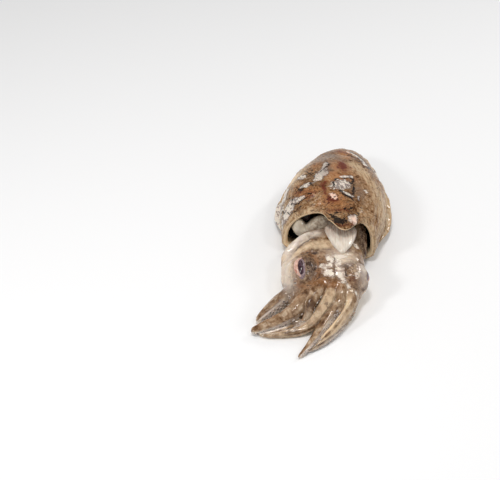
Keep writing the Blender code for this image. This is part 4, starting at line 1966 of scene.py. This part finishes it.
@dataclass
class Eye:
    """What shows of an eye: grey iris, dark pupil, and the pale lid that borders it.

    Places on the eye are across it, towards the middle of the head, and along it, towards the tail.
    """

    side: Side
    heart: Triple
    facing: Triple
    roundness: float = 15.0
    size: float = 1.0
    spot: Vector = field(init=False)
    out: Vector = field(init=False)
    along: Vector = field(init=False)
    across: Vector = field(init=False)
    # Share of the lid's length, then its place across and along the eye, and its radius.
    lid: Track = Track(
        (
            (0.00, 1.5, 9.6, 0.5),
            (0.22, -1.9, 7.2, 1.5),
            (0.50, -3.8, 1.6, 1.9),
            (0.76, -3.6, -3.8, 1.6),
            (1.00, -1.2, -8.6, 0.6),
        )
    )

    def lay_on(self, surface: Surface) -> None:
        """Finds where the eye sits on the skin, and the directions along and across it.

        Args:
            surface: The skin.
        """
        self.spot, self.out = surface.out_from(self.heart, self.facing)
        self.along = (Vector((0.0, 1.0, 0.0)) - self.out.y * self.out).normalized()
        self.across = -self.side.value * self.along.cross(self.out)

    def lay(self, across: Values, along: Values, lift: Values) -> Points:
        """Points over the eye's rounded surface.

        Args:
            across: How far across the eye.
            along: How far along it.
            lift: How far above the surface.

        Returns:
            The points.
        """
        across, along = self.size * across, self.size * along
        drop = (across**2 + along**2) / (2 * self.roundness)
        flat = across[:, None] * np.array(self.across) + along[:, None] * np.array(self.along)
        return np.array(self.spot) + flat + (self.size**2 * lift - drop)[:, None] * np.array(self.out)

    def lens(self, name: str, middle: Pair, half_sizes: Triple) -> Piece:
        """A smooth flat lens that lies on the eye.

        Args:
            name: The piece's name.
            middle: Where its middle is.
            half_sizes: Half its size across, along and outward.

        Returns:
            The lens.
        """

        def place(shares: Values, turns: Values) -> Points:
            """Points of the lens.

            Args:
                shares: Shares of the way from one end to the other.
                turns: Turns about that way, in radians.

            Returns:
                The points.
            """
            ring = np.sin(math.pi * shares)
            across = middle[0] + half_sizes[0] * ring * np.cos(turns)
            along = middle[1] + half_sizes[1] * np.cos(math.pi * shares)
            return self.lay(across, along, half_sizes[2] * ring * np.sin(turns))

        shape, _, _ = drawn_ball(around=48, rows=40, place=place)
        return Piece.from_shape(f"{name}_{self.side.name.lower()}", shape)

    def eyelid(self) -> Piece:
        """The pale lid along the outer side.

        Returns:
            The lid.
        """

        def place(shares: Values, turns: Values) -> Points:
            """Points of the lid.

            Args:
                shares: Shares of the way from one end to the other.
                turns: Turns about that way, in radians.

            Returns:
                The points.
            """
            places = along_body(shares)
            across, along, radius = self.lid.at(places).T
            ahead, behind = (self.lid.at(np.clip(places + gap, 0.0, 1.0)) for gap in (0.02, -0.02))
            run = (ahead - behind)[:, :2]
            run /= np.linalg.norm(run, axis=1)[:, None]
            size = radius * round_end(shares)
            aside = size * np.cos(turns)
            lift = 0.2 + 0.9 * size * np.sin(turns)
            return self.lay(across - aside * run[:, 1], along + aside * run[:, 0], lift)

        shape, _, _ = drawn_ball(around=32, rows=80, place=place)
        piece = Piece.from_shape(f"eyelid_{self.side.name.lower()}", shape)
        points = piece.points()
        piece.swell(0.2 * ripple(points, 2.2, 71.0))
        piece.add(Mark.STREAK, step(ripple(points, 2.6, 72.0), 0.0, 0.5))
        return piece


@dataclass(frozen=True)
class Lamp:
    """A soft area light."""

    name: str
    place: Triple
    size: float
    power: float


@dataclass
class Studio:
    """A plain pale floor, soft light, and the camera."""

    elevation: float = math.radians(37.0)
    distance: float = 1.0
    lens: float = 85.0
    target: Triple = (-0.061, 0.018, 0.0)
    floor_size: float = 4.0
    floor_gap: float = 0.0002
    floor_colour: Colour = (0.875, 0.905, 0.945, 1.0)
    sky: float = 0.46
    warmth: Triple = (1.0, 0.965, 0.925)
    lamps: tuple[Lamp, ...] = (
        Lamp("key", (-0.12, -0.28, 1.1), 0.2, 4.6),
        Lamp("left_front", (-0.8, -0.5, 0.7), 0.18, 3.0),
        Lamp("right_back", (0.7, 0.5, 0.6), 0.14, 1.6),
        Lamp("back", (-0.3, 0.9, 0.8), 0.1, 0.25),
        Lamp("spark_top", (0.15, 0.3, 1.05), 0.1, 0.7),
        Lamp("spark_right", (0.5, -0.35, 0.9), 0.1, 0.9),
    )

    def floor(self) -> None:
        """The floor, just under the object."""
        sheet = NodeSheet("floor")
        material = sheet.dress(self.floor_colour, 0.6, None)
        shape = bmesh.new()
        bmesh.ops.create_grid(shape, x_segments=1, y_segments=1, size=self.floor_size)
        bmesh.ops.translate(shape, verts=shape.verts, vec=(0.0, 0.0, -self.floor_gap))
        mesh = bpy.data.meshes.new("floor")
        shape.to_mesh(mesh)
        shape.free()
        mesh.materials.append(material)
        made = bpy.data.objects.new("floor", mesh)
        bpy.context.scene.collection.objects.link(made)

    def light(self) -> None:
        """The sky and the lamps."""
        world = bpy.data.worlds.new("studio")
        world.use_nodes = True
        world.node_tree.nodes["Background"].inputs["Strength"].default_value = self.sky
        world.node_tree.nodes["Background"].inputs["Color"].default_value = (*self.warmth, 1.0)
        bpy.context.scene.world = world
        for lamp in self.lamps:
            data = bpy.data.lights.new(lamp.name, "AREA")
            data.size, data.energy = lamp.size, lamp.power
            data.color = self.warmth
            made = bpy.data.objects.new(lamp.name, data)
            made.location = lamp.place
            made.rotation_euler = Vector(lamp.place).to_track_quat("Z", "Y").to_euler()
            bpy.context.scene.collection.objects.link(made)

    def camera(self) -> None:
        """The camera, at the photograph's angle."""
        back = Vector((0.0, -math.cos(self.elevation), math.sin(self.elevation)))
        data = bpy.data.cameras.new("camera")
        data.lens = self.lens
        made = bpy.data.objects.new("camera", data)
        made.location = Vector(self.target) + Vector(TO_ORIGIN * MM) + self.distance * back
        made.rotation_euler = back.to_track_quat("Z", "Y").to_euler()
        bpy.context.scene.collection.objects.link(made)
        bpy.context.scene.camera = made

    def build(self) -> None:
        """Floor, light and camera."""
        self.floor()
        self.light()
        self.camera()
        bpy.context.scene.view_settings.view_transform = "Standard"


def main() -> None:
    """Builds and dresses every piece, then the studio."""
    mantle = Mantle()
    mantle.build().finish(MANTLE_SKIN.make())
    fins, fin_skin = Fins(mantle), FIN_SKIN.make()
    for side in Side:
        fins.build(side).finish(fin_skin)

    body = HeadAndArms()
    skin = body.build()
    surface = Surface(skin)
    skin.finish(HEAD_SKIN.make())
    Suckers(body).build(surface).finish(SUCKER.make())
    parts = ((NapeShield(), SHIELD), (Collar(), COLLAR), (Organ(), ORGAN), (NeckBand(), BAND))
    for part, finish in parts:
        part.build().finish(finish.make())
    iris, pupil, eyelid = IRIS.make(), PUPIL.make(), EYELID.make()
    eyes = (
        Eye(Side.LEFT, body.left_eye[0], (-2.5, -6.0, 15.0)),
        Eye(Side.RIGHT, body.right_eye[0], (13.5, -1.0, 5.0), size=0.72),
    )
    for eye in eyes:
        eye.lay_on(surface)
        eye.lens("iris", (-0.4, -0.6), (3.8, 9.6, 0.6)).finish(iris)
        eye.lens("pupil", (-0.2, -0.4), (2.5, 7.4, 1.1)).finish(pupil)
        eye.eyelid().finish(eyelid)

    Studio().build()


if __name__ == "__main__":
    main()
